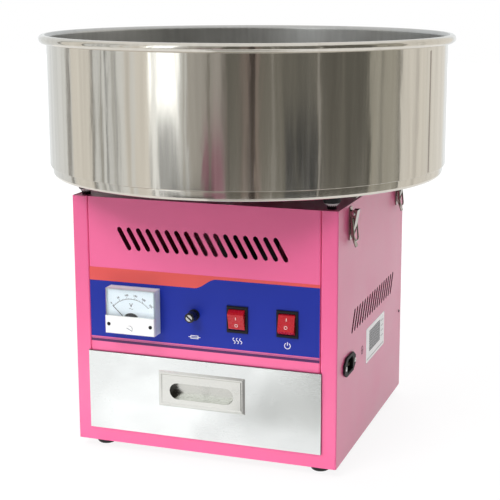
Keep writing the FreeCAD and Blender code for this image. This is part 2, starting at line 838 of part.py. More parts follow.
def bowl_keeper():
    """Hook under the floor that a latch's bail pulls on; made on the right side at y = 0."""
    t = bowl_sheet
    stem = keeper_stem_x
    low = bowl_z - keeper_drop
    top = bowl_floor_z
    root, lip = stem - keeper_tab, stem + keeper_lip
    path = [(root, top), (root, top - t), (stem - t, top - t), (stem - t, low), (lip, low),
            (lip, low + t), (stem, low + t), (stem, top)]
    return prism("xz", path, -keeper_width / 2, keeper_width / 2)


# ---- drive ----
def hub_cover():
    """Turned cover over the drive that stands up inside the bowl's collar."""
    low, high = top_plate_z, top_plate_z + hub_cover_height
    r, t, hole = hub_cover_radius, cover_sheet, shaft_radius + hub_hole_gap
    return turned([(r, low), (r, high), (hole, high), (hole, high - t), (r - t, high - t), (r - t, low)])


def motor_bracket():
    half = bracket_size / 2
    plate = box(-half, half, -half, half, bracket_under, bracket_top)
    bore = rod(V(0, 0, bracket_under - 1), V(0, 0, bracket_top + 1), bracket_bore_radius)
    return plate.cut(bore)


def isolator_places():
    at = bracket_size / 2 - isolator_inset
    return [(sx * at, sy * at) for sx in (-1, 1) for sy in (-1, 1)]


def isolator(x, y):
    """Rubber bobbin between the top plate and the motor bracket."""
    return tapered(x, y, [(isolator_radius, bracket_top), (isolator_radius, top_plate_under)])


def motor_case():
    """Closed drum that the shaft runs through in its bearings."""
    bore = shaft_radius + pin_clearance
    r, low, high = motor_radius, motor_z, bracket_under
    return turned([(bore, low), (r, low), (r, high), (bore, high)])


def drive_shaft():
    low = motor_z - fan_height - fan_drop - 4
    high = head_z + 20
    r = shaft_radius
    return turned([(0, low), (r, low), (r, high - 1), (r - 1, high), (0, high)])


def cooling_fan():
    low = motor_z - fan_height - fan_drop
    high = low + fan_height
    hub = turned([(shaft_radius, low), (fan_hub_radius, low), (fan_hub_radius, high), (shaft_radius, high)])
    half_sheet = fan_blade_sheet / 2
    blades = []
    for index in range(fan_blades):
        blade = box(fan_hub_radius - 1, fan_radius, -half_sheet, half_sheet, low + 1, high - 1)
        blade.rotate(V(0, 0, (low + high) / 2), V(1, 0, 0), fan_blade_pitch)
        blade.rotate(V(0, 0, 0), V(0, 0, 1), 360 / fan_blades * index)
        blades.append(blade)
    return fused([hub] + blades)


# ---- spinning head ----
def head_base():
    """Dish on the shaft with a cone in the middle that spreads the sugar outwards."""
    z, r, t, s = head_z, head_radius, head_sheet, shaft_radius
    rim, hub = z + head_dish_depth, z + head_hub_height
    path = [(s, z), (r, z), (r, rim), (r - t, rim), (r - t, z + t),
            (head_cone_radius, z + t), (s + 5, hub), (s, hub)]
    return turned(path)


def floss_band():
    """Thin band with a ring of upright slits, the sieve that the syrup is thrown through."""
    low = head_z + head_sheet
    high = low + band_height
    inner = band_radius - band_sheet
    band = turned([(inner, low), (band_radius, low), (band_radius, high), (inner, high)])
    slit = box(inner - 2, band_radius + 2, -slit_width / 2, slit_width / 2, head_z + 14, high - 5)
    slits = []
    for index in range(slit_count):
        slits.append(slit.copy())
        slits[-1].rotate(V(0, 0, 0), V(0, 0, 1), 360 / slit_count * index)
    return band.cut(slits)


def heater_ribbon():
    """Heating strip folded back and forth into a ring just inside the band."""
    low = head_z + head_sheet + post_height

    def zigzag(shift):
        points = []
        for index in range(2 * ribbon_folds):
            radius = (ribbon_outer if index % 2 else ribbon_inner) + shift
            angle = math.pi * index / ribbon_folds
            points.append((radius * math.cos(angle), radius * math.sin(angle)))
        return points
    outer = prism("xy", zigzag(ribbon_sheet / 2), low, low + ribbon_height)
    inner = prism("xy", zigzag(-ribbon_sheet / 2), low - 1, low + ribbon_height + 1)
    return outer.cut(inner)


def ribbon_posts():
    """Ceramic blocks that carry the heating strip clear of the dish."""
    low = head_z + head_sheet
    posts = []
    for index in range(ribbon_posts_count):
        post = box(ribbon_inner - 1.5, ribbon_outer + 1.5, -5, 5, low, low + post_height)
        post.rotate(V(0, 0, 0), V(0, 0, 1), 360 / ribbon_posts_count * index - 30)
        posts.append(post)
    return posts


def head_lid():
    """Flat lid over the band with a bevelled edge and a neck that the sugar is poured through."""
    z = head_z + head_sheet + band_height + fit_gap
    r, t, f = head_radius, head_sheet, funnel_radius
    neck = z + lid_neck_height
    return turned([(r, z), (r - t, z + t), (f + t, z + t), (f + t, neck), (f, neck), (f, z)])


def head_nut():
    low = head_z + head_hub_height
    hexagon = bow((0, 0), nut_radius, 0, 360, 6)[:-1]
    bore = rod(V(0, 0, low - 1), V(0, 0, low + nut_height + 1), shaft_radius)
    return prism("xy", hexagon, low, low + nut_height).cut(bore)


def build_casing():
    save("casing_shell", casing())
    save("front_panel", front_panel())
    save("top_plate", top_plate())
    save("back_cover", back_cover())
    save("rubber_feet", *[foot(x, y) for x, y in corners(foot_inset_x, foot_inset_y)])
    pads = bumper_places()
    save("bumper_cups", *[bumper_cup(x, y) for x, y in pads])
    save("bumper_pads", *[bumper_pad(x, y) for x, y in pads])


def build_latches():
    save("latch_bases", *at_latches(latch_base()).values())
    for place, lever in at_latches(latch_lever()).items():
        save("latch_lever_" + place, lever)
    for place, bail in at_latches(latch_bail()).items():
        save("latch_bail_" + place, bail)


def build_drawer():
    save("drawer_tray", drawer_tray())
    save("drawer_front", drawer_front())
    save("drawer_pull", drawer_pull())
    runner = drawer_runner()
    save("drawer_runners", runner, mirrored(runner))


def build_controls():
    save("meter_case", meter_case())
    save("meter_window", meter_window())
    save("meter_cover", meter_cover())
    save("meter_dial", meter_dial())
    save("meter_movement", meter_movement())
    save("meter_needle", meter_needle())
    save("meter_zero_screw", meter_zero_screw())
    save("fuse_holder", fuse_holder())
    save("fuse_knob", fuse_knob())
    save("switch_housings", *[switch_body(x) for x in (heat_switch_x, power_switch_x)])
    save("heat_rocker", rocker(heat_switch_x, rocker_tilt))
    save("power_rocker", rocker(power_switch_x, -rocker_tilt))
    save("inlet_housing", inlet_housing())
    save("inlet_pins", *inlet_pins())


def build_bowl():
    save("bowl_wall", bowl_wall())
    save("bowl_floor", bowl_floor())
    save("bowl_keepers", *at_latches(bowl_keeper()).values())


def build_drive():
    save("hub_cover", hub_cover())
    save("motor_bracket", motor_bracket())
    save("motor_isolators", *[isolator(x, y) for x, y in isolator_places()])
    save("motor_case", motor_case())
    save("drive_shaft", drive_shaft())
    save("cooling_fan", cooling_fan())


def build_head():
    save("head_base", head_base())
    save("heater_ribbon", heater_ribbon())
    save("ribbon_posts", *ribbon_posts())
    save("floss_band", floss_band())
    save("head_lid", head_lid())
    save("head_nut", head_nut())


os.makedirs("parts", exist_ok=True)
build_casing()
build_latches()
build_drawer()
build_controls()
build_bowl()
build_drive()
build_head()
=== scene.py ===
import json
import math

import bmesh
import bpy
from mathutils import Matrix, Vector


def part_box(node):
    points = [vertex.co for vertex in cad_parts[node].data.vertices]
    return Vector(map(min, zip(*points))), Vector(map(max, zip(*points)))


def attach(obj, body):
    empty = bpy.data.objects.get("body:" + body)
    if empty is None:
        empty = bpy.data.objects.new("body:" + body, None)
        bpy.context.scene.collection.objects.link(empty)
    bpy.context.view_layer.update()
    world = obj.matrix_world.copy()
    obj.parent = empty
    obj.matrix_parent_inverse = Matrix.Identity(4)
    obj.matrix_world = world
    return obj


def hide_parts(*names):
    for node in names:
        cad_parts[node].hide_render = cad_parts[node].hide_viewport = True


# Electric candy-floss machine. This lays finishes, printed panel, dial, fasteners, the polished
# bowl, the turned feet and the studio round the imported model. Metres, -Y is the front.

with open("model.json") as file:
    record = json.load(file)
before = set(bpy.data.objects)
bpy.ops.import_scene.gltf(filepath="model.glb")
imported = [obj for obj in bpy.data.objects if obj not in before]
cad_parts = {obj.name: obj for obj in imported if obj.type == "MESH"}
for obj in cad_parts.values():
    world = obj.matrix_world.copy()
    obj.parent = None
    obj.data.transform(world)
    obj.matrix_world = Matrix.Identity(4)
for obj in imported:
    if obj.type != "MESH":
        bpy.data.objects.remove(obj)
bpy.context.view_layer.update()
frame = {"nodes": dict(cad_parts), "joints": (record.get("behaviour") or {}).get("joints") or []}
nodes = frame["nodes"]

MM = 0.001
BASE_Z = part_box("casing_shell")[0].z
TOP_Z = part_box("casing_shell")[1].z
RIGHT_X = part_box("casing_shell")[1].x
FRONT_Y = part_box("front_panel")[0].y
# where each turning joint has its axis
PIVOTS = {joint["name"]: Vector(joint["pos_m"]) for joint in frame["joints"] if "pos_m" in joint}


# ---- small helpers ----
def up(height):
    """Height above the underside of the casing, in millimetres, as a level."""
    return BASE_Z + height * MM


def middle(name):
    """Middle of a node's box."""
    low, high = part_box(name)
    return (low + high) / 2


def paint(red, green, blue):
    """Linear colour from the 0-255 values of a paint chart."""
    def linear(value):
        share = value / 255
        return share / 12.92 if share <= 0.04045 else ((share + 0.055) / 1.055) ** 2.4
    return (linear(red), linear(green), linear(blue), 1.0)


def shade(colour, factor):
    return tuple(min(1.0, part * factor) for part in colour[:3]) + (1.0,)


def placed(name, data):
    """New object in the scene."""
    made = bpy.data.objects.new(name, data)
    bpy.context.scene.collection.objects.link(made)
    return made


def step(tree, kind, fields=None, **settings):
    """One node of a tree; its fields, by name or number, are set by value or linked from a socket."""
    made = tree.nodes.new(kind)
    for key, value in settings.items():
        setattr(made, key, value)
    for label, value in (fields or {}).items():
        socket = made.inputs[label]
        if isinstance(value, bpy.types.NodeSocket):
            tree.links.new(value, socket)
        else:
            socket.default_value = value
    return made


def flow(tree, kind, fields=None, **settings):
    """What comes out first of a new node."""
    return step(tree, kind, fields, **settings).outputs[0]


def math_of(tree, operation, one, two):
    return flow(tree, "ShaderNodeMath", {0: one, 1: two}, operation=operation)


def times(tree, one, two):
    return math_of(tree, "MULTIPLY", one, two)


# ---- finishes ----
EVEN = (1, 1, 1)


def own_place(tree):
    """Coordinates of the piece itself, in metres."""
    return step(tree, "ShaderNodeTexCoord").outputs["Object"]


def object_pattern(tree, stretch, scale, detail=2.0, warp=0.0):
    """Noise on the piece's own coordinates, stretched along its grain."""
    mapped = flow(tree, "ShaderNodeMapping", {"Vector": own_place(tree), "Scale": stretch})
    fields = {"Vector": mapped, "Scale": scale, "Detail": detail, "Distortion": warp}
    return flow(tree, "ShaderNodeTexNoise", fields)


def spread(tree, value, low, high, start=0.3, end=0.7):
    """A pattern's values from start to end become those from low to high."""
    fields = {"Value": value, "From Min": start, "From Max": end, "To Min": low, "To Max": high}
    return flow(tree, "ShaderNodeMapRange", fields)


def blended(tree, factor, one, two):
    """Colour between two colours, which are a Mix node's inputs 6 and 7 and its output 2."""
    return step(tree, "ShaderNodeMix", {"Factor": factor, 6: one, 7: two}, data_type="RGBA").outputs[2]


def toned(tree, pattern, colour, low, high):
    """The colour moves between two shades of itself with a pattern."""
    return blended(tree, spread(tree, pattern, 0.0, 1.0), shade(colour, low), shade(colour, high))


def bumped(tree, shader, height, strength, depth, under=None):
    fields = {"Height": height, "Strength": strength, "Distance": depth}
    if under is not None:
        fields["Normal"] = under
    made = flow(tree, "ShaderNodeBump", fields)
    tree.links.new(made, shader.inputs["Normal"])
    return made


def wired(tree, shader, colour, roughness):
    """Colour and roughness come from the finish's own patterns."""
    tree.links.new(colour, shader.inputs["Base Color"])
    tree.links.new(roughness, shader.inputs["Roughness"])


def plain_finish(name, metallic=0.0, **sockets):
    finish = bpy.data.materials.new(name)
    finish.use_nodes = True
    shader = finish.node_tree.nodes["Principled BSDF"]
    shader.inputs["Metallic"].default_value = metallic
    for label, value in sockets.items():
        shader.inputs[label.replace("_", " ")].default_value = value
    return finish, finish.node_tree, shader


def coated(name, colour, rough, scale=900.0, relief=0.15, depth=0.00008, drift=0.05, wear=0.0, **sockets):
    """Finish with a fine grain, a slow drift of tone, roughness that follows both, and some wear."""
    finish, tree, shader = plain_finish(name, **sockets)
    colour = paint(*colour)
    fine = object_pattern(tree, EVEN, scale)
    slow = object_pattern(tree, EVEN, 14.0, 3.0)
    tone = toned(tree, slow, colour, 1 - drift, 1 + drift)
    speck = blended(tree, spread(tree, fine, 0.0, 0.35), tone, shade(colour, 1 - 2 * drift))
    if wear:
        rub = object_pattern(tree, EVEN, 60.0, 6.0, 0.6)
        speck = blended(tree, spread(tree, rub, 0.0, wear, 0.58, 0.72), speck, shade(colour, 0.6))
    mixed = math_of(tree, "ADD", fine, slow)
    wired(tree, shader, speck, spread(tree, mixed, *rough, 0.7, 1.3))
    bumped(tree, shader, fine, relief, depth)
    return finish


def brushed(name, colour, rough, grain, scale, relief=0.12, drift=0.06, smudge=0.1, clouds=0.0):
    """Metal sheet with scratches along its grain, faint handling marks and a slow cloudy tone."""
    finish, tree, shader = plain_finish(name, metallic=1.0)
    colour = paint(*colour)
    lines = object_pattern(tree, grain, scale, 4.0)
    marks = object_pattern(tree, EVEN, 22.0, 5.0, 0.8)
    tone = toned(tree, lines, colour, 1 - drift, 1 + drift)
    soiled = blended(tree, spread(tree, marks, 0.0, smudge * 2, 0.52, 0.75), tone, shade(colour, 0.7))
    if clouds:
        cloud = object_pattern(tree, (1, 1, 1.4), 9.0, 2.0, 0.5)
        soiled = blended(tree, spread(tree, cloud, 0.0, 1.0, 0.4, 0.62), soiled, shade(colour, 1 - clouds))
    handled = spread(tree, marks, 0.0, smudge, 0.45, 0.7)
    wired(tree, shader, soiled, math_of(tree, "ADD", spread(tree, lines, *rough), handled))
    bumped(tree, shader, lines, relief, 0.00004)
    return finish


def rolled_bowl_steel(name, colour, rough, waviness):
    """Bright sheet rolled round the bowl: sharp reflections across it, drawn out up and down."""
    finish, tree, shader = plain_finish(name, metallic=1.0, Anisotropic=0.7, Anisotropic_Rotation=0.25)
    round_way = flow(tree, "ShaderNodeTangent", direction_type="RADIAL", axis="Z")
    tree.links.new(round_way, shader.inputs["Tangent"])
    mill = object_pattern(tree, (0.02, 0.02, 1.0), 2600.0, 3.0)
    streaks = object_pattern(tree, (1, 1, 0.03), 95.0, 4.0, 0.2)
    broad = object_pattern(tree, (1, 1, 0.12), 17.0)
    ripple = object_pattern(tree, (1, 1, 0.16), 58.0, warp=0.3)
    tone = toned(tree, streaks, paint(*colour), 0.93, 1.05)
    warm = blended(tree, spread(tree, broad, 0.0, 0.35), tone, paint(205, 196, 182))
    wired(tree, shader, warm, spread(tree, streaks, *rough))
    waves = bumped(tree, shader, broad, 1.0, waviness)
    waves = bumped(tree, shader, ripple, 0.6, waviness * 0.25, waves)
    fine = bumped(tree, shader, streaks, 0.25, waviness * 0.1, waves)
    bumped(tree, shader, mill, 0.05, 0.00001, fine)
    return finish


def turned_metal(name, colour, rough, pitch):
    """Lathe-turned metal with burnt sugar in places: fine rings round the upright axis."""
    finish, tree, shader = plain_finish(name, metallic=1.0)
    colour = paint(*colour)
    fields = {"Vector": own_place(tree), "Scale": 1 / (pitch * 20), "Distortion": 0.4, "Detail": 2.0}
    rings = step(tree, "ShaderNodeTexWave", fields, wave_type="RINGS", rings_direction="Z").outputs["Fac"]
    stain = object_pattern(tree, EVEN, 45.0, 5.0, 0.5)
    tone = blended(tree, rings, shade(colour, 0.93), shade(colour, 1.04))
    sugar = blended(tree, spread(tree, stain, 0.0, 0.35, 0.55, 0.8), tone, paint(150, 120, 86))
    wired(tree, shader, sugar, spread(tree, stain, *rough))
    bumped(tree, shader, rings, 0.2, 0.00005)
    return finish


def clear_window(name):
    """Clear moulded acrylic with a very slight flow in it."""
    finish, tree, shader = plain_finish(name, Base_Color=(0.97, 0.985, 0.99, 1.0), Transmission_Weight=1.0,
                                        IOR=1.3, Roughness=0.03)
    bumped(tree, shader, object_pattern(tree, EVEN, 40.0, 1.0), 0.1, 0.0002)
    return finish


MILKY = {"Subsurface_Weight": 0.5, "Subsurface_Radius": (1, 1, 1), "Subsurface_Scale": 0.008}
PINK = coated("pink_powder_coat", (246, 101, 156), (0.30, 0.42), 1500.0, relief=0.12, depth=0.00006,
              drift=0.018, Coat_Weight=0.5, Coat_Roughness=0.3)
BOWL_STEEL = rolled_bowl_steel("bright_rolled_steel", (208, 204, 195), (0.09, 0.18), 0.0012)
BOWL_INSIDE_STEEL = brushed("satin_inside_steel", (186, 186, 184), (0.3, 0.42), (1, 1, 0.2), 160.0)
BOWL_FLOOR_STEEL = rolled_bowl_steel("bright_pressed_steel", (200, 198, 193), (0.12, 0.22), 0.0002)
# partly a dull unpolished underside, partly painted shade: a grey that keeps the gap between bowl and
# casing dark
DULL_AND_SHADE_STEEL = brushed("underside_dull_and_painted_shade_steel", (120, 119, 116), (0.45, 0.6), EVEN, 160.0, drift=0.1)
DRAWER_STEEL = brushed("brushed_drawer_steel", (250, 253, 252), (0.2, 0.27), (0.04, 1, 1), 2400.0,
                       relief=0.02, drift=0.015, smudge=0.03, clouds=0.14)
PULL_STEEL = brushed("polished_pull_steel", (224, 224, 219), (0.16, 0.24), (0.05, 1, 1), 1800.0,
                     relief=0.06, drift=0.03)
# painted shade: darker, rougher steel for the inside of the pull's cup, where the recess lies in shade
PAINTED_CUP_SHADE_STEEL = brushed("pull_cup_painted_shade_steel", (206, 206, 200), (0.18, 0.28), (0.05, 1, 1), 1400.0, drift=0.04)
# painted shade: darker steel for the pull's right-facing chamfer
PAINTED_CHAMFER_SHADE_STEEL = brushed("chamfer_painted_shade_steel", (150, 149, 146), (0.3, 0.4), EVEN, 900.0)
# painted shade: near-black steel for edges and ends that the light leaves dark, not a different metal
PAINTED_EDGE_SHADE_STEEL = brushed("edge_painted_shade_steel", (74, 72, 70), (0.3, 0.4), EVEN, 900.0)
# painted reflection: the chrome's base colour is darkened to a warm brown that stands in for the dark
# surroundings it reflects
LATCH_METAL_PAINTED_DARK = brushed("latch_painted_dark_reflection_steel", (150, 142, 133), (0.09, 0.18), (1, 1, 0.05), 900.0)
BAND_STEEL = brushed("band_steel", (200, 198, 194), (0.22, 0.34), (1, 1, 0.04), 800.0, smudge=0.2)
TURNED = turned_metal("turned_aluminium", (214, 213, 210), (0.2, 0.36), 0.0006)
COVER_STEEL = turned_metal("spun_cover_steel", (205, 204, 200), (0.16, 0.28), 0.0009)
WINDOW = clear_window("clear_meter_window")
ZINC = coated("zinc_plate", (196, 198, 200), (0.3, 0.46), 420.0, relief=0.08, drift=0.08, metallic=1.0)
PIN_PLATE = coated("plated_pins", (206, 196, 164), (0.24, 0.36), metallic=1.0)
ELEMENT = coated("element_ribbon", (92, 86, 82), (0.42, 0.6), 600.0, relief=0.2, drift=0.15, metallic=1.0)
SCREW_ZINC = coated("bright_screws", (205, 205, 203), (0.22, 0.34), 1500.0, drift=0.06, metallic=1.0)
SCREW_DARK = coated("blackened_screws", (58, 57, 58), (0.32, 0.45), 1500.0, drift=0.1, metallic=1.0)
MOTOR_ENAMEL = coated("motor_enamel", (34, 35, 38), (0.35, 0.5), 700.0, drift=0.08)
RUBBER = coated("black_rubber", (30, 30, 31), (0.68, 0.86), 1100.0, relief=0.3, depth=0.0001, drift=0.1,
                wear=0.5)
BLACK_MOULDING = coated("black_moulding", (22, 22, 24), (0.32, 0.46), 1700.0, relief=0.2, drift=0.08,
                        Specular_IOR_Level=0.25)
INLET_BLACK = coated("inlet_moulding", (16, 16, 17), (0.5, 0.62), 1700.0, relief=0.2, drift=0.08,
                     Specular_IOR_Level=0.2)
KNOB_BLACK = coated("fuse_cap_black", (22, 22, 24), (0.22, 0.36), drift=0.08)
COIL_BLACK = coated("coil_cover_black", (38, 38, 40), (0.4, 0.55), drift=0.08)
FAN_BLACK = coated("fan_moulding", (32, 33, 35), (0.38, 0.5), drift=0.08)
NEEDLE_BLACK = coated("needle_enamel", (24, 24, 26), (0.3, 0.4), 2500.0)
ROCKER_RED = coated("red_rocker", (186, 20, 36), (0.2, 0.32), 500.0, relief=0.05, Coat_Weight=0.15,
                    Specular_IOR_Level=0.35, Subsurface_Weight=0.1, Subsurface_Scale=0.002)
METER_WHITE = coated("white_meter_moulding", (254, 254, 253), (0.2, 0.3), 700.0, relief=0.05, drift=0.005,
                     Coat_Weight=0.3)
METER_FROST = coated("frosted_window_edge", (238, 254, 255), (0.3, 0.42), relief=0.05, drift=0.01,
                     Coat_Weight=0.6, **MILKY)
METER_BODY = coated("meter_body_moulding", (240, 253, 255), (0.28, 0.38), 700.0, drift=0.01, **MILKY)
# painted shade: grey on the white zero screw's sides and slot
PAINTED_SCREW_SIDE_SHADE = coated("zero_screw_painted_shade", (168, 170, 176), (0.4, 0.5), 700.0, drift=0.02)
# painted shade: dark maroon on the cut edges inside the vent slots, where the pink paint lies in shade
PAINTED_VENT_SHADE = coated("vent_edge_painted_shade", (120, 34, 66), (0.4, 0.55), 1500.0)
# painted highlight: near-white for the bright rim that the bumper cups show under the bowl
PAINTED_RIM_HIGHLIGHT = coated("cup_rim_painted_highlight", (244, 244, 242), (0.25, 0.35), drift=0.02)
CERAMIC = coated("white_ceramic", (236, 232, 222), (0.3, 0.45), drift=0.03)
DIAL_CARD = coated("dial_card", (238, 246, 252), (0.5, 0.6), 1600.0, relief=0.04, drift=0.01)
PLATE_VINYL = coated("white_plate_vinyl", (250, 250, 249), (0.2, 0.3), 1300.0, relief=0.05, drift=0.01,
                     Coat_Weight=0.8)
BLUE_PRINT, RED_PRINT, ROSE_PRINT, PLUM_PRINT = [
    coated(name + "_panel_print", colour, (0.34, 0.44), 1300.0, relief=0.08, drift=0.02,
           Specular_IOR_Level=level)
    for name, colour, level in (("blue", (26, 46, 156), 0.25), ("red", (230, 84, 80), 0.5),
                                ("rose", (184, 92, 142), 0.5), ("plum", (78, 24, 88), 0.5))]
BLACK_INK = coated("black_ink", (34, 34, 36), (0.5, 0.6), 2500.0, drift=0.1)
WHITE_INK = coated("white_ink", (240, 238, 236), (0.4, 0.5), 2500.0, drift=0.02)
MAROON_INK = coated("maroon_ink", (84, 20, 44), (0.5, 0.6), 2500.0, Specular_IOR_Level=0.15)
GREY_INK = coated("grey_ink", (96, 98, 102), (0.5, 0.6), 2500.0, drift=0.04, Specular_IOR_Level=0.2)

NODE_FINISH = {}
for finish, names in (
        (PINK, "casing_shell front_panel top_plate back_cover"), (METER_BODY, "meter_case"),
        (RUBBER, "rubber_feet bumper_pads motor_isolators"), (INLET_BLACK, "inlet_housing"),
        (BLACK_MOULDING, "bumper_cups fuse_holder switch_housings"), (PIN_PLATE, "inlet_pins"),
        (ZINC, "drawer_runners motor_bracket drive_shaft head_nut"), (COVER_STEEL, "hub_cover"),
        (DRAWER_STEEL, "drawer_tray drawer_front"), (PULL_STEEL, "drawer_pull"),
        (WINDOW, "meter_window"), (METER_WHITE, "meter_cover meter_zero_screw"),
        (DIAL_CARD, "meter_dial"), (COIL_BLACK, "meter_movement"), (NEEDLE_BLACK, "meter_needle"),
        (KNOB_BLACK, "fuse_knob"), (ROCKER_RED, "heat_rocker power_rocker"),
        (MOTOR_ENAMEL, "motor_case"), (FAN_BLACK, "cooling_fan"), (TURNED, "head_base head_lid"),
        (ELEMENT, "heater_ribbon"), (CERAMIC, "ribbon_posts"), (BAND_STEEL, "floss_band"),
        (BOWL_STEEL, "bowl_wall"), (BOWL_FLOOR_STEEL, "bowl_floor")):
    NODE_FINISH.update(dict.fromkeys(names.split(), finish))


def smooth_skin(obj, angle=38.0):
    """Round faces shade round and real edges stay crisp: normals are shared within the angle."""
    mesh = obj.data
    limit = math.cos(math.radians(angle))
    meeting = {}
    for polygon in mesh.polygons:
        polygon.use_smooth = True
        for corner in polygon.loop_indices:
            point = mesh.vertices[mesh.loops[corner].vertex_index].co
            key = tuple(round(value * 1e6) for value in point)
            meeting.setdefault(key, []).append((corner, polygon.normal.copy(), polygon.area))
    normals = [Vector((0, 0, 1))] * len(mesh.loops)
    for faces in meeting.values():
        for corner, normal, _ in faces:
            total = Vector((0, 0, 0))
            for _, other, area in faces:
                if normal.dot(other) > limit:
                    total += other * area
            normals[corner] = total.normalized() if total.length > 0 else normal
    mesh.normals_split_custom_set(normals)


for name, obj in nodes.items():
    obj.data.materials.clear()
    # pieces not listed above take the latch steel, whose darkened colour is painted reflection
    obj.data.materials.append(NODE_FINISH.get(name, LATCH_METAL_PAINTED_DARK))
    smooth_skin(obj)


def refinished(name, finish, chosen):
    """Faces of one node that a rule chooses, by where they face and lie, take another finish."""
    mesh = nodes[name].data
    mesh.materials.append(finish)
    for polygon in mesh.polygons:
        if chosen(polygon.normal, polygon.center):
            polygon.material_index = len(mesh.materials) - 1


ZERO_FACE_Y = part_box("meter_zero_screw")[0].y
CUP_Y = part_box("drawer_pull")[0].y + 3 * MM
PULL_EDGE_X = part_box("drawer_pull")[1].x
refinished("meter_window", METER_FROST, lambda way, at: abs(way.y) < 0.5)
# painted shade on the zero screw's sides and slot floor
refinished("meter_zero_screw", PAINTED_SCREW_SIDE_SHADE, lambda way, at: at.y > ZERO_FACE_Y + 0.1 * MM)
# painted shade inside the pull's cup
refinished("drawer_pull", PAINTED_CUP_SHADE_STEEL, lambda way, at: at.y > CUP_Y)
# painted shade on the pull: the left end wall of its cup and the left-facing faces by its right edge
refinished("drawer_pull", PAINTED_EDGE_SHADE_STEEL, lambda way, at: way.x > 0.35 and at.x < 0 and at.y > CUP_Y
           or way.x < -0.5 and at.x > PULL_EDGE_X - 6 * MM)
# painted shade on the pull's right-facing chamfer
refinished("drawer_pull", PAINTED_CHAMFER_SHADE_STEEL, lambda way, at: way.x > 0.6 and at.x > PULL_EDGE_X - 2.2 * MM)
# painted shade on the drawer front's right side and top face
refinished("drawer_front", PAINTED_EDGE_SHADE_STEEL, lambda way, at: max(way.x, way.z) > 0.9)
# painted highlight on the upper band of the bumper cups
refinished("bumper_cups", PAINTED_RIM_HIGHLIGHT, lambda way, at: at.z > TOP_Z + 4 * MM and abs(way.z) < 0.9)
# dull underside and painted shade on the bowl floor's lower face
refinished("bowl_floor", DULL_AND_SHADE_STEEL, lambda way, at: way.z < -0.5)
# painted shade inside the front vent slots
refinished("front_panel", PAINTED_VENT_SHADE, lambda way, at: abs(way.y) < 0.5 and abs(at.x) < 120 * MM
           and up(240) < at.z < up(280))
# painted shade inside the side vent slots
refinished("casing_shell", PAINTED_VENT_SHADE, lambda way, at: abs(way.x) < 0.5 and abs(at.y) < 130 * MM
           and up(140) < at.z < up(190))


# ---- geometry trees ----
def new_tree(name, sizes, *objects):
    """Geometry tree with inputs for its places, its sizes and counts, its objects and its finish."""
    tree = bpy.data.node_groups.new(name, "GeometryNodeTree")

    def socket(label, kind, in_out="INPUT"):
        return tree.interface.new_socket(label, in_out=in_out, socket_type="NodeSocket" + kind)
    socket("Places", "Geometry")
    for label, size in sizes.items():
        socket(label, "Int" if isinstance(size, int) else "Float").default_value = size
    for label in objects:
        socket(label, "Object")
    socket("Finish", "Material")
    socket("Mesh", "Geometry", "OUTPUT")
    return tree, tree.nodes.new("NodeGroupInput").outputs


def close_tree(tree, given, geometry):
    """Every tree ends as real, finished mesh."""
    real = flow(tree, "GeometryNodeRealizeInstances", {"Geometry": geometry})
    fields = {"Geometry": real, "Material": given["Finish"]}
    step(tree, "NodeGroupOutput", {"Mesh": flow(tree, "GeometryNodeSetMaterial", fields)})
    return tree


def joined(tree, *parts):
    made = tree.nodes.new("GeometryNodeJoinGeometry")
    for part in parts:
        tree.links.new(part, made.inputs["Geometry"])
    return made.outputs["Geometry"]


def vector_of(tree, x=0.0, y=0.0, z=0.0):
    return flow(tree, "ShaderNodeCombineXYZ", {"X": x, "Y": y, "Z": z})


def moved(tree, geometry, **way):
    fields = {"Geometry": geometry, "Translation": vector_of(tree, **way)}
    return flow(tree, "GeometryNodeTransform", fields)


def cone(tree, bottom, top, depth, sides=24):
    fields = {"Vertices": sides, "Radius Bottom": bottom, "Radius Top": top, "Depth": depth}
    return flow(tree, "GeometryNodeMeshCone", fields)


def block(tree, x, y, z):
    return flow(tree, "GeometryNodeMeshCube", {"Size": vector_of(tree, x, y, z)})


def ball(tree, x, y, z, lift=0.0, radius=0.5, segments=20, rings=10):
    """Smooth ball drawn out by a factor each way, then lifted."""
    fields = {"Segments": segments, "Rings": rings, "Radius": radius}
    sphere = flow(tree, "GeometryNodeMeshUVSphere", fields)
    fields = {"Geometry": sphere, "Scale": vector_of(tree, x, y, z), "Translation": vector_of(tree, z=lift)}
    drawn = flow(tree, "GeometryNodeTransform", fields)
    return flow(tree, "GeometryNodeSetShadeSmooth", {"Geometry": drawn})


def stood(tree, points, item, way, axis):
    """The item on every point, with one of its axes turned along a vector."""
    turn = flow(tree, "FunctionNodeAlignRotationToVector", {"Vector": way}, axis=axis)
    fields = {"Points": points, "Instance": item, "Rotation": turn}
    return flow(tree, "GeometryNodeInstanceOnPoints", fields)


def set_at(tree, given, item):
    """Closes a tree with the item on every place, turned to face the way that the place says."""
    label = {"Name": "facing"}
    facing = flow(tree, "GeometryNodeInputNamedAttribute", label, data_type="FLOAT_VECTOR")
    return close_tree(tree, given, stood(tree, given["Places"], item, facing, "Z"))


def screw_tree():
    """Low pan head with a bevelled crown and a cross recess."""
    tree, given = new_tree("pan_screws", {"Diameter": 6.0 * MM, "Height": 1.8 * MM, "Recess": 0.7 * MM})
    width, height = given["Diameter"], given["Height"]
    radius, skirt_top = times(tree, width, 0.5), times(tree, height, 0.55)
    skirt = cone(tree, radius, radius, skirt_top)
    crown = cone(tree, radius, times(tree, width, 0.36), times(tree, height, 0.45))
    crown = moved(tree, crown, z=skirt_top)
    arm, blade, deep = times(tree, width, 0.52), times(tree, width, 0.12), times(tree, given["Recess"], 2.0)
    for size in ((arm, blade, deep), (blade, arm, deep)):
        fields = {"Mesh 1": crown, "Mesh 2": moved(tree, block(tree, *size), z=height)}
        crown = flow(tree, "GeometryNodeMeshBoolean", fields, operation="DIFFERENCE")
    return set_at(tree, given, joined(tree, skirt, crown))


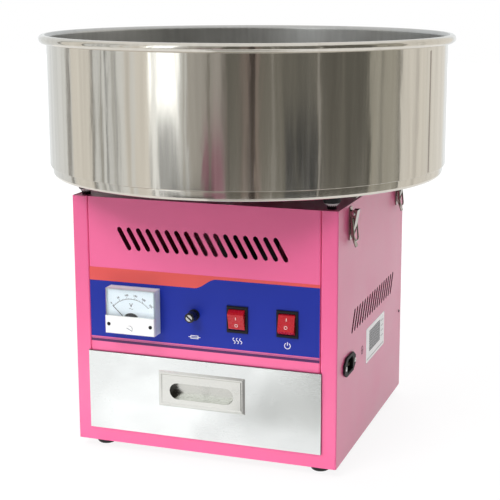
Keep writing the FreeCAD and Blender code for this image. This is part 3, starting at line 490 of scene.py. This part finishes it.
def rivet_tree():
    """Round rivet head, its lower half sunk in the sheet."""
    tree, given = new_tree("round_rivets", {"Diameter": 4.0 * MM, "Height": 1.0 * MM})
    width, height = given["Diameter"], given["Height"]
    return set_at(tree, given, ball(tree, width, width, times(tree, height, 2.0)))


def dome_nut_tree():
    """Hexagon nut with a washer under it and a domed top."""
    tree, given = new_tree("dome_nuts", {"Across": 6.0 * MM, "Height": 4.0 * MM})
    across, height = given["Across"], given["Height"]
    corner, wide, half = times(tree, across, 0.577), times(tree, across, 0.78), times(tree, height, 0.5)
    washer = cone(tree, wide, wide, times(tree, height, 0.12))
    hexagon = cone(tree, corner, corner, half, 6)
    dome = ball(tree, across, across, height, half, 0.45)
    return set_at(tree, given, joined(tree, washer, hexagon, dome))


def turned_sheet_tree():
    """Sheet section carried round the upright axis at a turning radius."""
    tree, given = new_tree("turned_sheet", {"Turning radius": 250.0 * MM, "Steps": 288}, "Section")
    section = step(tree, "GeometryNodeObjectInfo", {"Object": given["Section"]}).outputs["Geometry"]
    profile = flow(tree, "GeometryNodeMeshToCurve", {"Mesh": section})
    fields = {"Resolution": given["Steps"], "Radius": given["Turning radius"]}
    ring = flow(tree, "GeometryNodeCurvePrimitiveCircle", fields)
    level = flow(tree, "GeometryNodeSetCurveNormal", {"Curve": ring}, mode="Z_UP")
    swept = flow(tree, "GeometryNodeCurveToMesh", {"Curve": level, "Profile Curve": profile})
    return close_tree(tree, given, swept)


def weld_tree():
    """Overlapping ripples of a weld bead along the places."""
    tree, given = new_tree("weld_ripples", {"Width": 3.0 * MM, "Pitch": 2.0 * MM, "Crown": 0.3 * MM})
    long, tall = times(tree, given["Pitch"], 2.4), times(tree, given["Crown"], 2.0)
    return set_at(tree, given, ball(tree, given["Width"], long, tall, segments=10, rings=6))


def dial_scale_tree():
    """Scale line with long marks and finer ones between them, in the plane of the dial."""
    sizes = {"Radius": 30.0 * MM, "Half angle": 0.83, "Line": 0.4 * MM, "Long": 3.0 * MM, "Short": 1.2 * MM}
    tree, given = new_tree("dial_scale", {**sizes, "Long marks": 6, "Short marks": 26})
    half_angle = given["Half angle"]
    fields = {"Resolution": 49, "Radius": given["Radius"], "Sweep Angle": times(tree, half_angle, 2.0),
              "Start Angle": math_of(tree, "SUBTRACT", math.pi / 2, half_angle)}
    arc = flow(tree, "GeometryNodeCurveArc", fields)
    fields = {"Resolution": 4, "Radius": times(tree, given["Line"], 0.5)}
    pen = flow(tree, "GeometryNodeCurvePrimitiveCircle", fields)
    fields = {"Curve": arc, "Profile Curve": pen, "Fill Caps": True}
    parts = [flow(tree, "GeometryNodeCurveToMesh", fields)]
    for count, length in (("Long marks", "Long"), ("Short marks", "Short")):
        points = flow(tree, "GeometryNodeCurveToPoints", {"Curve": arc, "Count": given[count]})
        mark = block(tree, given["Line"], given[length], given["Line"])
        mark = moved(tree, mark, y=times(tree, given[length], 0.5))
        parts.append(stood(tree, points, mark, flow(tree, "GeometryNodeInputPosition"), "Y"))
    return close_tree(tree, given, joined(tree, *parts))


# ---- pieces from trees, outlines and shells ----
def plain_mesh(holder):
    """What an object's modifiers or curve make, as a plain mesh; the object itself goes."""
    bpy.context.view_layer.update()
    evaluated = holder.evaluated_get(bpy.context.evaluated_depsgraph_get())
    mesh = bpy.data.meshes.new_from_object(evaluated)
    holder.modifiers.clear()
    bpy.data.objects.remove(holder)
    return mesh


def grown(name, tree, places, sizes, finish, body, turned=None):
    """Runs a tree on its places and keeps the result as a plain mesh on one body."""
    mesh = bpy.data.meshes.new(name + "_places")
    mesh.from_pydata([point for point, _ in places], [], [])
    facing = mesh.attributes.new("facing", "FLOAT_VECTOR", "POINT")
    for index, (_, way) in enumerate(places):
        facing.data[index].vector = way
    host = placed(name + "_host", mesh)
    modifier = host.modifiers.new("tree", "NODES")
    modifier.node_group = tree
    sockets = {item.name: item.identifier for item in tree.interface.items_tree if item.in_out == "INPUT"}
    for label, value in {**sizes, "Finish": finish}.items():
        modifier[sockets[label]] = value
    result = plain_mesh(host)
    if turned is not None:
        result.transform(turned)
    return settled(name, result, body)


def settled(name, mesh, body, smooth=None):
    """Puts a finished mesh in the scene as a piece that rides on its body."""
    shell = bmesh.new()
    shell.from_mesh(mesh)
    bmesh.ops.recalc_face_normals(shell, faces=shell.faces)
    shell.to_mesh(mesh)
    shell.free()
    piece = placed(name, mesh)
    if smooth:
        smooth_skin(piece, smooth)
    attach(piece, body)
    return piece


def mesh_of(shell, name, finish):
    """Finished mesh of a shell, which is then let go."""
    mesh = bpy.data.meshes.new(name)
    shell.to_mesh(mesh)
    shell.free()
    mesh.materials.append(finish)
    return mesh


def slabs(name, outlines, place, thickness, finish, body):
    """Thin closed slabs from flat outlines; place turns (across, up, out) into a point."""
    sunk = 0.05 * MM
    shell = bmesh.new()
    for outline in outlines:
        below = [shell.verts.new(place(u, v, -sunk)) for u, v in outline]
        above = [shell.verts.new(place(u, v, thickness)) for u, v in outline]
        shell.faces.new(below[::-1])
        shell.faces.new(above)
        for index in range(len(outline)):
            after = (index + 1) % len(outline)
            shell.faces.new((below[index], below[after], above[after], above[index]))
    return settled(name, mesh_of(shell, name, finish), body)


def on_front(u, v, out):
    return Vector((u, FRONT_Y - out, v))


def on_right(u, v, out):
    return Vector((RIGHT_X + out, u, v))


def bow(centre, radius, start, end, steps):
    angles = [math.radians(start + (end - start) * index / steps) for index in range(steps + 1)]
    return [(centre[0] + radius * math.cos(a), centre[1] + radius * math.sin(a)) for a in angles]


def arc_line(centre, radius, line, start, end, steps):
    """Arc drawn with a pen of the given width, as short straight-sided pieces that share their ends."""
    outer = bow(centre, radius + line / 2, start, end, steps)
    inner = bow(centre, radius - line / 2, start, end, steps)
    return [[outer[k], outer[k + 1], inner[k + 1], inner[k]] for k in range(steps)]


def bar(x0, x1, z0, z1):
    return [(x0, z0), (x1, z0), (x1, z1), (x0, z1)]


# ---- bowl: rolled wall with a wired rim, stepped foot and a welded joint ----
OUT_RIGHT, OUT_BACK, OUT_FRONT, UPWARD, DOWNWARD = (1, 0, 0), (0, 1, 0), (0, -1, 0), (0, 0, 1), (0, 0, -1)
ONE_PLACE = [((0, 0, 0), UPWARD)]
BOWL_RADIUS = 250.4 * MM
BOWL_SHEET = 1.2 * MM


def bowl_section():
    """Closed section of the wall as (radius, height) points: rim, outside, foot and inside."""
    low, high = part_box("bowl_wall")
    outside, inside = BOWL_RADIUS, BOWL_RADIUS - BOWL_SHEET
    foot = outside - 3.4 * MM
    groove, lining = foot - 0.4 * MM, foot - 2 * BOWL_SHEET
    bead = (high.x - inside) / 2
    bead_low = high.z - 2 * bead
    path = bow((inside + bead, high.z - bead), bead, 180, -90, 24)
    path += [(outside + 0.4 * MM, bead_low), (outside, bead_low - 0.5 * MM)]
    path += [(radius, low.z + height * MM) for radius, height in (
        (outside, 70), (outside, 12.2), (outside - 0.4 * MM, 11.7), (groove, 11.5), (groove, 10.8),
        (foot, 10.4), (foot, 3.2), (foot - 0.2 * MM, 2.4), (foot - 0.6 * MM, 1.5), (foot - 1.2 * MM, 0.7),
        (foot - 1.8 * MM, 0), (lining, 0), (lining, 10.5), (inside, 14), (inside, 70))]
    return path


def bowl_wall():
    """The section carried round, with a satin finish on its inner face."""
    turning = 250 * MM
    points = [(radius - turning, -z, 0) for radius, z in bowl_section()]
    edges = [(k, (k + 1) % len(points)) for k in range(len(points))]
    mesh = bpy.data.meshes.new("section")
    mesh.from_pydata(points, edges, [])
    section = placed("section", mesh)
    sizes = {"Section": section, "Turning radius": turning, "Steps": 288}
    piece = grown("bowl_rolled_wall", turned_sheet_tree(), ONE_PLACE, sizes, BOWL_STEEL, "bowl")
    bpy.data.objects.remove(section)
    piece.data.materials.append(BOWL_INSIDE_STEEL)
    for polygon in piece.data.polygons:
        outward = Vector((polygon.center.x, polygon.center.y, 0)).normalized()
        if polygon.normal.dot(outward) < -0.4:
            polygon.material_index = 1
    smooth_skin(piece, 50)
    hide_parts("bowl_wall")


def bowl_weld(angle):
    """Joint of the rolled sheet: a planished bead outside and in."""
    low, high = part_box("bowl_wall")
    out = Vector((math.cos(angle), math.sin(angle), 0))
    sunk, pitch = 0.05 * MM, 2.2 * MM
    bottom, top = low.z + 15 * MM, high.z - 13 * MM
    count = int((top - bottom) / pitch)
    faces = ((BOWL_RADIUS - sunk, out), (BOWL_RADIUS - BOWL_SHEET + sunk, -out))
    places = [(out * radius + Vector((0, 0, bottom + k * pitch)), way) for radius, way in faces
              for k in range(count)]
    sizes = {"Width": 2.6 * MM, "Pitch": pitch, "Crown": 0.22 * MM}
    # the weld bead takes the latch steel, with its painted dark reflection
    grown("bowl_weld", weld_tree(), places, sizes, LATCH_METAL_PAINTED_DARK, "bowl")


bowl_wall()
bowl_weld(math.radians(-12.0))


# ---- screws and rivets ----
SCREWS = screw_tree()
RIVETS = rivet_tree()


def screws(name, places, diameter, height, recess, finish=SCREW_ZINC):
    """Screws on the casing, with their sizes in millimetres."""
    sizes = {"Diameter": diameter * MM, "Height": height * MM, "Recess": recess * MM}
    grown(name, SCREWS, places, sizes, finish, "casing")


def rivets(name, places, diameter, height, body):
    """Rivets with their sizes in millimetres."""
    sizes = {"Diameter": diameter * MM, "Height": height * MM}
    grown(name, RIVETS, places, sizes, SCREW_ZINC, body)


# ---- feet ----
def turned_feet():
    """Moulded feet: straight at the casing, rounded in to the floor, hollow round their screws."""
    low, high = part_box("rubber_feet")
    full, deep, sides = 12.5 * MM, 4.5 * MM, 40
    profile = [(full - 0.8 * MM, high.z), (full, high.z - 0.8 * MM), (full, low.z + 5.6 * MM)]
    profile += [(full - drawn * MM, low.z + height * MM)
                for drawn, height in ((0.3, 3.8), (0.9, 2.2), (1.7, 1.0), (2.8, 0.2), (3.6, 0))]
    profile += [(5.2 * MM, low.z), (4.8 * MM, low.z + 0.4 * MM), (4.4 * MM, low.z + deep)]
    centres = [(x, y) for x in (full - high.x, high.x - full) for y in (low.y + full, high.y - full)]
    shell = bmesh.new()
    for centre in centres:
        rings = [[shell.verts.new((x, y, z)) for x, y in bow(centre, radius, 0, 360, sides)[:-1]]
                 for radius, z in profile]
        for one, two in zip(rings, rings[1:]):
            for k in range(sides):
                after = (k + 1) % sides
                shell.faces.new((one[k], one[after], two[after], two[k]))
        shell.faces.new(rings[0])
        shell.faces.new(rings[-1])
    piece = settled("turned_feet", mesh_of(shell, "turned_feet", RUBBER), "casing", 40)
    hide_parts("rubber_feet")
    seat = low.z + deep + 0.2 * MM
    screws("foot_screws", [((x, y, seat), DOWNWARD) for x, y in centres], 7.0, 1.8, 0.9)


turned_feet()


# ---- printed panel ----
def panel_prints():
    """Blue field, red band with a wave in its lower edge, two lines under them and the signs."""
    ink = 0.12 * MM
    left, right = -146.2 * MM, 146.2 * MM
    blue_low, band_low, stripe_low, high = up(134.6), up(205.2), up(217.8), up(221.6)
    wave_x, wave_half, wave_high = 5.0 * MM, 14.5 * MM, stripe_low - band_low
    wave = []
    for share in [index / 8 - 1 for index in range(17)]:
        rise = wave_high * (1 + math.sin(share * math.pi / 2)) / 2
        wave.append((wave_x + wave_half * share, band_low + rise))
    blue = [(left, blue_low), (right, blue_low), (right, stripe_low)] + wave[::-1] + [(left, band_low)]
    red = [(left, band_low)] + wave + [(right, stripe_low), (right, high), (left, high)]
    for name, outline, finish in (
            ("panel_blue_field", blue, BLUE_PRINT), ("panel_red_band", red, RED_PRINT),
            ("panel_rose_line", bar(left, right, up(132.2), up(133.7)), ROSE_PRINT),
            ("panel_plum_line", bar(left, right, up(128.4), up(131.8)), PLUM_PRINT)):
        slabs(name, [outline], on_front, ink, finish, "casing")
    slabs("panel_symbols", panel_symbols(), on_front, ink + 0.05 * MM, WHITE_INK, "casing")


def panel_symbols():
    """Plain signs under the controls: a fuse, rising heat and the power sign."""
    line = 0.8 * MM
    fuse_x, fuse_z = middle("fuse_knob").x, up(145.0)
    half, tall, lead = 5.0 * MM, 2.1 * MM, 2.6 * MM
    drawn = [bar(fuse_x - half + line, fuse_x + half - line, fuse_z - line / 3, fuse_z + line / 3)]
    for side in (-1, 1):
        end, edge = fuse_x + side * half, fuse_z + side * tall
        drawn += [bar(fuse_x - half, fuse_x + half, edge - side * line, edge),
                  bar(end - side * line, end, fuse_z - tall + line, fuse_z + tall - line),
                  bar(end, end + side * lead, fuse_z - line / 2, fuse_z + line / 2)]
    heat_x, power_x, level = PIVOTS["heat_rock"].x, PIVOTS["power_rock"].x, up(145.5)
    curl = 1.7 * MM
    for x in (heat_x - 4.2 * MM, heat_x, heat_x + 4.2 * MM):
        drawn += arc_line((x, level + curl), curl, line, 100, 260, 8)
        drawn += arc_line((x - 0.6 * MM, level - 1.65 * MM), curl, line, -80, 80, 8)
    drawn += arc_line((power_x, level), 3.5 * MM, line, 120, 420, 24)
    drawn.append(bar(power_x - line / 2, power_x + line / 2, level + 0.4 * MM, level + 4.6 * MM))
    return drawn


panel_prints()


# ---- voltmeter face ----
NEEDLE_PIVOT = Vector((PIVOTS["needle_swing"].x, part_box("meter_dial")[0].y, PIVOTS["needle_swing"].z))


def on_dial(angle, reach):
    """Place on the dial, turned left of upright by an angle and that far out from the needle's pivot."""
    across = Vector((math.cos(angle), 0, math.sin(angle)))
    upward = Vector((-math.sin(angle), 0, math.cos(angle)))
    clear = 0.03 * MM
    return lambda u, v, out: NEEDLE_PIVOT + across * u + upward * (reach + v) - Vector((0, out + clear, 0))


def text_mesh(words, size, place):
    """Black figures as thin closed mesh: place turns (across, up, out) into a point."""
    curve = bpy.data.curves.new("figures", "FONT")
    curve.body = words
    curve.size = size
    curve.align_x = "CENTER"
    curve.align_y = "CENTER"
    curve.extrude = 0.03 * MM
    curve.offset = 0.06 * MM
    curve.resolution_u = 3
    mesh = plain_mesh(placed("figures", curve))
    for vertex in mesh.vertices:
        vertex.co = place(*vertex.co)
    return mesh


def meter_face():
    """Scale, figures, letter and wave sign of the dial."""
    radius, half = 30.2 * MM, math.radians(47.5)
    turned = Matrix.Translation(NEEDLE_PIVOT) @ Matrix.Rotation(math.radians(90), 4, "X")
    sizes = {"Radius": radius, "Half angle": half, "Long marks": 6, "Short marks": 26, "Line": 0.4 * MM,
             "Long": 2.6 * MM, "Short": 1.1 * MM}
    grown("dial_scale", dial_scale_tree(), ONE_PLACE, sizes, BLACK_INK, "casing", turned)
    shell = bmesh.new()
    for index in range(6):
        place = on_dial(half - 2 * half * index / 5, radius + 4.7 * MM)
        shell.from_mesh(text_mesh(str(50 * index), 3.3 * MM, place))
    shell.from_mesh(text_mesh("V", 7.0 * MM, on_dial(0.0, 22.5 * MM)))
    settled("dial_figures", mesh_of(shell, "dial_figures", BLACK_INK), "casing")
    pen = 0.2 * MM
    crest = [((k - 6) * 0.45 * MM, 0.5 * MM * math.sin(math.pi * k / 6)) for k in range(13)]
    wave = [[(u0, v0 - pen), (u1, v1 - pen), (u1, v1 + pen), (u0, v0 + pen)]
            for (u0, v0), (u1, v1) in zip(crest, crest[1:])]
    slabs("dial_wave", wave, on_dial(0.0, 18.4 * MM), 0.03 * MM, BLACK_INK, "casing")


meter_face()


# ---- switch marks and fuse cap ----
def switch_marks(body, joint, tilt):
    """White line and ring on the rocker's face, which stands tilted at rest."""
    turn = Matrix.Rotation(math.radians(tilt), 3, "X")
    face_out = 7.6 * MM

    def on_rocker(u, v, out):
        return PIVOTS[joint] + turn @ Vector((u, -face_out - out, v))
    line = [bar(-0.35 * MM, 0.35 * MM, 2.8 * MM, 6.4 * MM)]
    ring = arc_line((0, -4.6 * MM), 1.75 * MM, 0.5 * MM, 0, 360, 28)
    slabs(body + "_marks", line + ring, on_rocker, 0.06 * MM, WHITE_INK, body)


def fuse_cap_insert():
    """Plated contact plate each side of the screwdriver slot in the cap."""
    cap_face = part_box("fuse_knob")[0].y
    centre = middle("fuse_knob")
    turn = Matrix.Rotation(math.radians(40), 3, "Y")
    halves = [bow((0, 0), 3.9 * MM, start, start + 148, 14) for start in (16, 196)]

    def on_cap(u, v, out):
        return Vector((centre.x, cap_face - out, centre.z)) + turn @ Vector((u, 0, v))
    slabs("fuse_cap_insert", halves, on_cap, 0.25 * MM, SCREW_ZINC, "fuse_cap")


switch_marks("heat_switch", "heat_rock", 14.0)
switch_marks("power_switch", "power_rock", -14.0)
fuse_cap_insert()


# ---- fasteners ----
def casing_screws():
    """Screws of the voltmeter, the inlet, the right side, the back cover and the drive cover."""
    meter_x, meter_y = PIVOTS["needle_swing"].x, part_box("meter_cover")[0].y
    places = [((meter_x + offset * MM, meter_y, up(157.3)), OUT_FRONT) for offset in (-27.2, 27.2)]
    screws("meter_screws", places, 4.4, 0.8, 0.5, SCREW_DARK)

    inlet_x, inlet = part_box("inlet_housing")[1].x, middle("inlet_housing")
    places = [((inlet_x, inlet.y + offset * MM, inlet.z), OUT_RIGHT) for offset in (-20, 20)]
    screws("inlet_screws", places, 5.6, 1.1, 0.7)

    places = [((RIGHT_X, 152 * MM, up(110.0)), OUT_RIGHT)]
    screws("side_screw", places, 3.8, 0.9, 0.6, SCREW_DARK)

    low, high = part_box("back_cover")
    inset = 10 * MM
    places = [((x, high.y, z), OUT_BACK) for x in (low.x + inset, 0.0, high.x - inset)
              for z in (low.z + inset, high.z - inset)]
    screws("back_cover_screws", places, 7.0, 1.6, 0.9)

    hub_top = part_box("hub_cover")[1].z
    places = [((x, y, hub_top), UPWARD) for x, y in bow((0, 0), 34 * MM, 45, 315, 3)]
    screws("drive_cover_screws", places, 7.0, 1.4, 0.8)


def latch_rivets():
    """A rivet each side of every latch lever, and two on the bowl's floor at every keeper."""
    keepers = []
    floor_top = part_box("bowl_wall")[0].z + 2.4 * MM
    for name, pivot in PIVOTS.items():
        if name.startswith("lever_swing_"):
            places = [(pivot + Vector((0, side * 7.3 * MM, 0)), (0, side, 0)) for side in (-1, 1)]
            rivets(name.replace("lever_swing", "latch_rivets"), places, 4.0, 0.5, "casing")
            foot = Vector((pivot.x - math.copysign(9.5 * MM, pivot.x), pivot.y, floor_top))
            keepers += [(foot + Vector((0, offset * MM, 0)), UPWARD) for offset in (-3.6, 3.6)]
    rivets("keeper_rivets", keepers, 4.6, 1.0, "bowl")


def lid_nuts():
    """Three nuts that hold the lid of the spinning head on its posts."""
    lid_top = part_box("head_lid")[1].z - 5.5 * MM
    places = [((x, y, lid_top), UPWARD) for x, y in bow((0, 0), 54 * MM, 30, 270, 2)]
    sizes = {"Across": 5.5 * MM, "Height": 4.0 * MM}
    grown("lid_nuts", dome_nut_tree(), places, sizes, SCREW_ZINC, "spinner")


casing_screws()
latch_rivets()
lid_nuts()


# ---- right side: bare plate and earth mark ----
def side_plate():
    """Bare plate with rounded corners and a block of grey rules."""
    vinyl, corner = 0.12 * MM, 1.5 * MM
    low, high = up(88.3), up(133.2)
    near, far = -29.9 * MM, 65.2 * MM
    outline = []
    for y, z, start in ((far - corner, high - corner, 0), (near + corner, high - corner, 90),
                        (near + corner, low + corner, 180), (far - corner, low + corner, 270)):
        outline += bow((y, z), corner, start, start + 90, 4)
    slabs("side_plate", [outline], on_right, vinyl, PLATE_VINYL, "casing")
    rules = [bar(near + 4 * MM, far - 4 * MM, low + 3.4 * MM, low + 4.2 * MM)]
    for row in range(12):
        z = high - (6.8 + 2.3 * row) * MM
        rules.append(bar(near + 16 * MM, far - 23 * MM, z - 0.8 * MM, z + 0.8 * MM))
        if row % 3 == 1:
            rules.append(bar(far - 18 * MM, far - 6 * MM, z - 0.4 * MM, z + 0.4 * MM))

    def above_plate(u, v, out):
        return on_right(u, v, out + vinyl)
    slabs("side_plate_rules", rules, above_plate, 0.04 * MM, GREY_INK, "casing")


def earth_mark():
    """Earth sign in a ring: an upright and three bars, each shorter than the one above it."""
    y, z = -49.3 * MM, up(112.5)
    half_pen, half_bar = 0.5 * MM, 0.4 * MM
    earth = arc_line((y, z), 4.9 * MM, 2 * half_pen, 0, 360, 40)
    earth.append(bar(y - half_pen, y + half_pen, z + half_pen, z + 3.6 * MM))
    for width, drop in ((3.0, 0.0), (1.9, 1.3), (0.8, 2.6)):
        level = z - drop * MM
        earth.append(bar(y - width * MM, y + width * MM, level - half_bar, level + half_bar))
    slabs("earth_mark", earth, on_right, 0.08 * MM, MAROON_INK, "casing")


side_plate()
earth_mark()


# ---- floor, studio cards, lamps and camera ----
WHITE = (1, 1, 1, 1)


def bare_tree(holder):
    """Empty node tree of a material or the world."""
    holder.use_nodes = True
    holder.node_tree.nodes.clear()
    return holder.node_tree


def share_of_rays(tree, *kinds):
    """1 for rays of any of the kinds, otherwise 0."""
    path = step(tree, "ShaderNodeLightPath").outputs
    share = path[kinds[0]]
    for kind in kinds[1:]:
        share = math_of(tree, "MAXIMUM", share, path[kind])
    return share


def backdrop_finish():
    """Pale floor that keeps a soft shadow near the machine and reads white to the lens."""
    finish = bpy.data.materials.new("studio_floor")
    tree = bare_tree(finish)
    diffuse = flow(tree, "ShaderNodeBsdfDiffuse", {"Color": (0.62, 0.62, 0.62, 1)})
    white = flow(tree, "ShaderNodeEmission", {"Color": WHITE, "Strength": 1.12})
    seen = share_of_rays(tree, "Is Camera Ray", "Is Glossy Ray")
    away = step(tree, "ShaderNodeVectorMath", {0: own_place(tree)}, operation="LENGTH").outputs["Value"]
    share = times(tree, seen, spread(tree, away, 0.8, 1.0, 0.5, 1.4))
    mix = flow(tree, "ShaderNodeMixShader", {0: share, 1: diffuse, 2: white})
    step(tree, "ShaderNodeOutputMaterial", {"Surface": mix})
    return finish


def stage_sheet(name, points, faces, finish):
    """Part of the studio, which isn't part of the machine."""
    mesh = bpy.data.meshes.new(name)
    mesh.from_pydata(points, [], faces)
    mesh.materials.append(finish)
    sheet = placed(name, mesh)
    return sheet


def glow_card(name, points, faces, tint, strength, streak=0.0):
    """Card that only reflections see, with faint upright streaks in its tone."""
    finish = bpy.data.materials.new(name)
    tree = bare_tree(finish)
    glow = step(tree, "ShaderNodeEmission", {"Color": tint + (1,), "Strength": strength})
    if streak:
        lines = object_pattern(tree, (1, 1, 0.03), 26.0, 4.0)
        level = spread(tree, lines, strength * (1 - streak), strength * (1 + streak))
        tree.links.new(level, glow.inputs["Strength"])
    step(tree, "ShaderNodeOutputMaterial", {"Surface": glow.outputs[0]})
    card = stage_sheet(name, points, faces, finish)
    for ray in ("camera", "diffuse", "shadow", "transmission", "volume_scatter"):
        setattr(card, "visible_" + ray, False)


# degrees from the right round to the front, where the lens stands
LENS_HEADING = 70.1


def studio_card(label, start, end, tint, strength, low=0.0, high=1.6, distance=1.4):
    """Upright bowed card between two headings in degrees round to the lens's right."""
    steps = max(1, math.ceil((end - start) / 4))
    around = bow((0, 0), distance, start - LENS_HEADING, end - LENS_HEADING, steps)
    points = [(x, y, z) for z in (low, high) for x, y in around]
    faces = [(k, k + 1, k + steps + 2, k + steps + 1) for k in range(steps)]
    glow_card("studio_card_" + label, points, faces, tint, strength, 0.14)


def studio_cards():
    """A white tent with grey and black flags, a window strip, stands and a pale cloth low down."""
    warm, cool, olive = (1.0, 0.975, 0.925), (0.95, 0.98, 1.0), (1.0, 0.97, 0.86)
    rose, russet = (0.95, 0.42, 0.6), (1.0, 0.84, 0.77)
    for card in (
            ("a", -178, -108, cool, 0.95), ("b", -108, -87, warm, 0.9), ("c", -87, -58, cool, 0.92),
            ("d", -58, -50, warm, 0.92), ("f", -36, -30, cool, 0.85), ("g", -30, -23, warm, 0.5),
            ("i", -12, -4, olive, 0.17), ("j", -4, -0.5, russet, 0.26), ("q", -0.5, 6, russet, 0.08),
            ("k", 6, 19, olive, 0.21), ("m", 36, 65, olive, 0.15), ("n", 65, 84, olive, 0.46),
            ("o", 84, 140, warm, 0.9), ("p", 140, 182, cool, 0.95)):
        studio_card(*card)
    for label, start, end, upper, bright, lower, dim, level in (
            ("e", -50, -36, cool, 2.4, cool, 0.5, 0.3), ("h", -23, -12, warm, 0.46, rose, 0.36, 0.26),
            ("l", 19, 36, olive, 0.2, cool, 0.08, 0.3)):
        studio_card(label + "_upper", start, end, upper, bright, level)
        studio_card(label + "_lower", start, end, lower, dim, 0.0, level)
    studio_card("latch_flag", -40, -16, warm, 0.03, 0.0, 0.13, 1.35)
    stands = [
        (-112.5, -109.5, warm, 0.3), (-89, -87, olive, 0.1), (-82, -80.8, olive, 0.35),
        (-77.4, -76.4, olive, 0.1), (-73.8, -72.8, olive, 0.4), (-72, -71, olive, 0.16),
        (-66, -62, warm, 0.8), (-47, -44.5, cool, 1.2), (-32.5, -31.6, olive, 0.5),
        (-20, -18.6, olive, 0.24), (3.6, 6, russet, 0.3), (11.5, 12.3, warm, 0.5),
        (24, 25, olive, 0.2), (34, 35.4, warm, 0.5), (48, 49.5, olive, 0.2),
        (71, 73, olive, 0.25), (84, 86, olive, 0.2), (98, 101, warm, 0.7)]
    for index, stand in enumerate(stands):
        studio_card(f"stand_{index}", *stand, distance=1.38)
    cloth = [(-0.02, -1.1, 0.002), (0.4, -1.1, 0.002), (0.4, -0.3, 0.002), (-0.02, -0.3, 0.002)]
    glow_card("floor_cloth", cloth, [(0, 1, 2, 3)], (1.0, 1.0, 0.98), 0.6)


def studio_world():
    """Dim fill for the object; white where the lens, a reflection or the clear window looks past it."""
    world = bpy.data.worlds.new("studio")
    bpy.context.scene.world = world
    tree = bare_tree(world)
    seen = share_of_rays(tree, "Is Camera Ray", "Is Glossy Ray", "Is Transmission Ray")
    fill = flow(tree, "ShaderNodeBackground", {"Color": WHITE, "Strength": 0.24})
    white = flow(tree, "ShaderNodeBackground", {"Color": WHITE, "Strength": 1.0})
    mix = flow(tree, "ShaderNodeMixShader", {0: seen, 1: fill, 2: white})
    step(tree, "ShaderNodeOutputWorld", {"Surface": mix})


def softbox(name, place, aim, width, height, power):
    """Soft lamp that lights the machine but isn't seen in its reflections."""
    lamp = bpy.data.lights.new(name, "AREA")
    lamp.shape = "RECTANGLE"
    lamp.size = width
    lamp.size_y = height
    lamp.energy = power
    holder = placed(name, lamp)
    holder.location = place
    holder.rotation_euler = (Vector(aim) - Vector(place)).to_track_quat("-Z", "Y").to_euler()
    holder.visible_glossy = False


def studio_camera():
    """Long lens, a little above the machine and to its right."""
    lens = bpy.data.cameras.new("lens")
    lens.sensor_width = 36.0
    lens.lens = 87.93
    lens.shift_x = -0.046
    lens.shift_y = -0.0628
    lens.clip_start = 0.05
    camera = placed("camera", lens)
    camera.location = (0.5285, -1.4631, 0.5759)
    camera.rotation_euler = (math.radians(90 - 11.13), 0.0, math.radians(18.69))
    bpy.context.scene.camera = camera


floor_corners = [(-7, -7, 0), (7, -7, 0), (7, 7, 0), (-7, 7, 0)]
stage_sheet("studio_floor", floor_corners, [(0, 1, 2, 3)], backdrop_finish())
studio_cards()
studio_world()
softbox("key_softbox", (-0.6, -2.0, 2.4), (0.0, -0.1, 0.2), 1.3, 1.3, 53.0)
softbox("side_softbox", (2.4, -0.6, 1.5), (0.1, 0.0, 0.2), 1.4, 1.6, 2.0)
softbox("top_softbox", (0.0, 0.3, 2.6), (0.0, 0.0, 0.3), 2.2, 2.2, 30.0)
softbox("back_softbox", (-0.6, 2.3, 1.7), (0.0, 0.1, 0.2), 1.5, 1.5, 26.0)
softbox("left_softbox", (-2.3, 0.5, 1.6), (-0.1, 0.0, 0.2), 1.5, 1.5, 16.0)
softbox("low_softbox", (-0.02, -0.36, 0.02), (-0.01, -0.16, 0.03), 0.6, 0.03, 0.36)
studio_camera()
bpy.context.scene.view_settings.view_transform = "Standard"
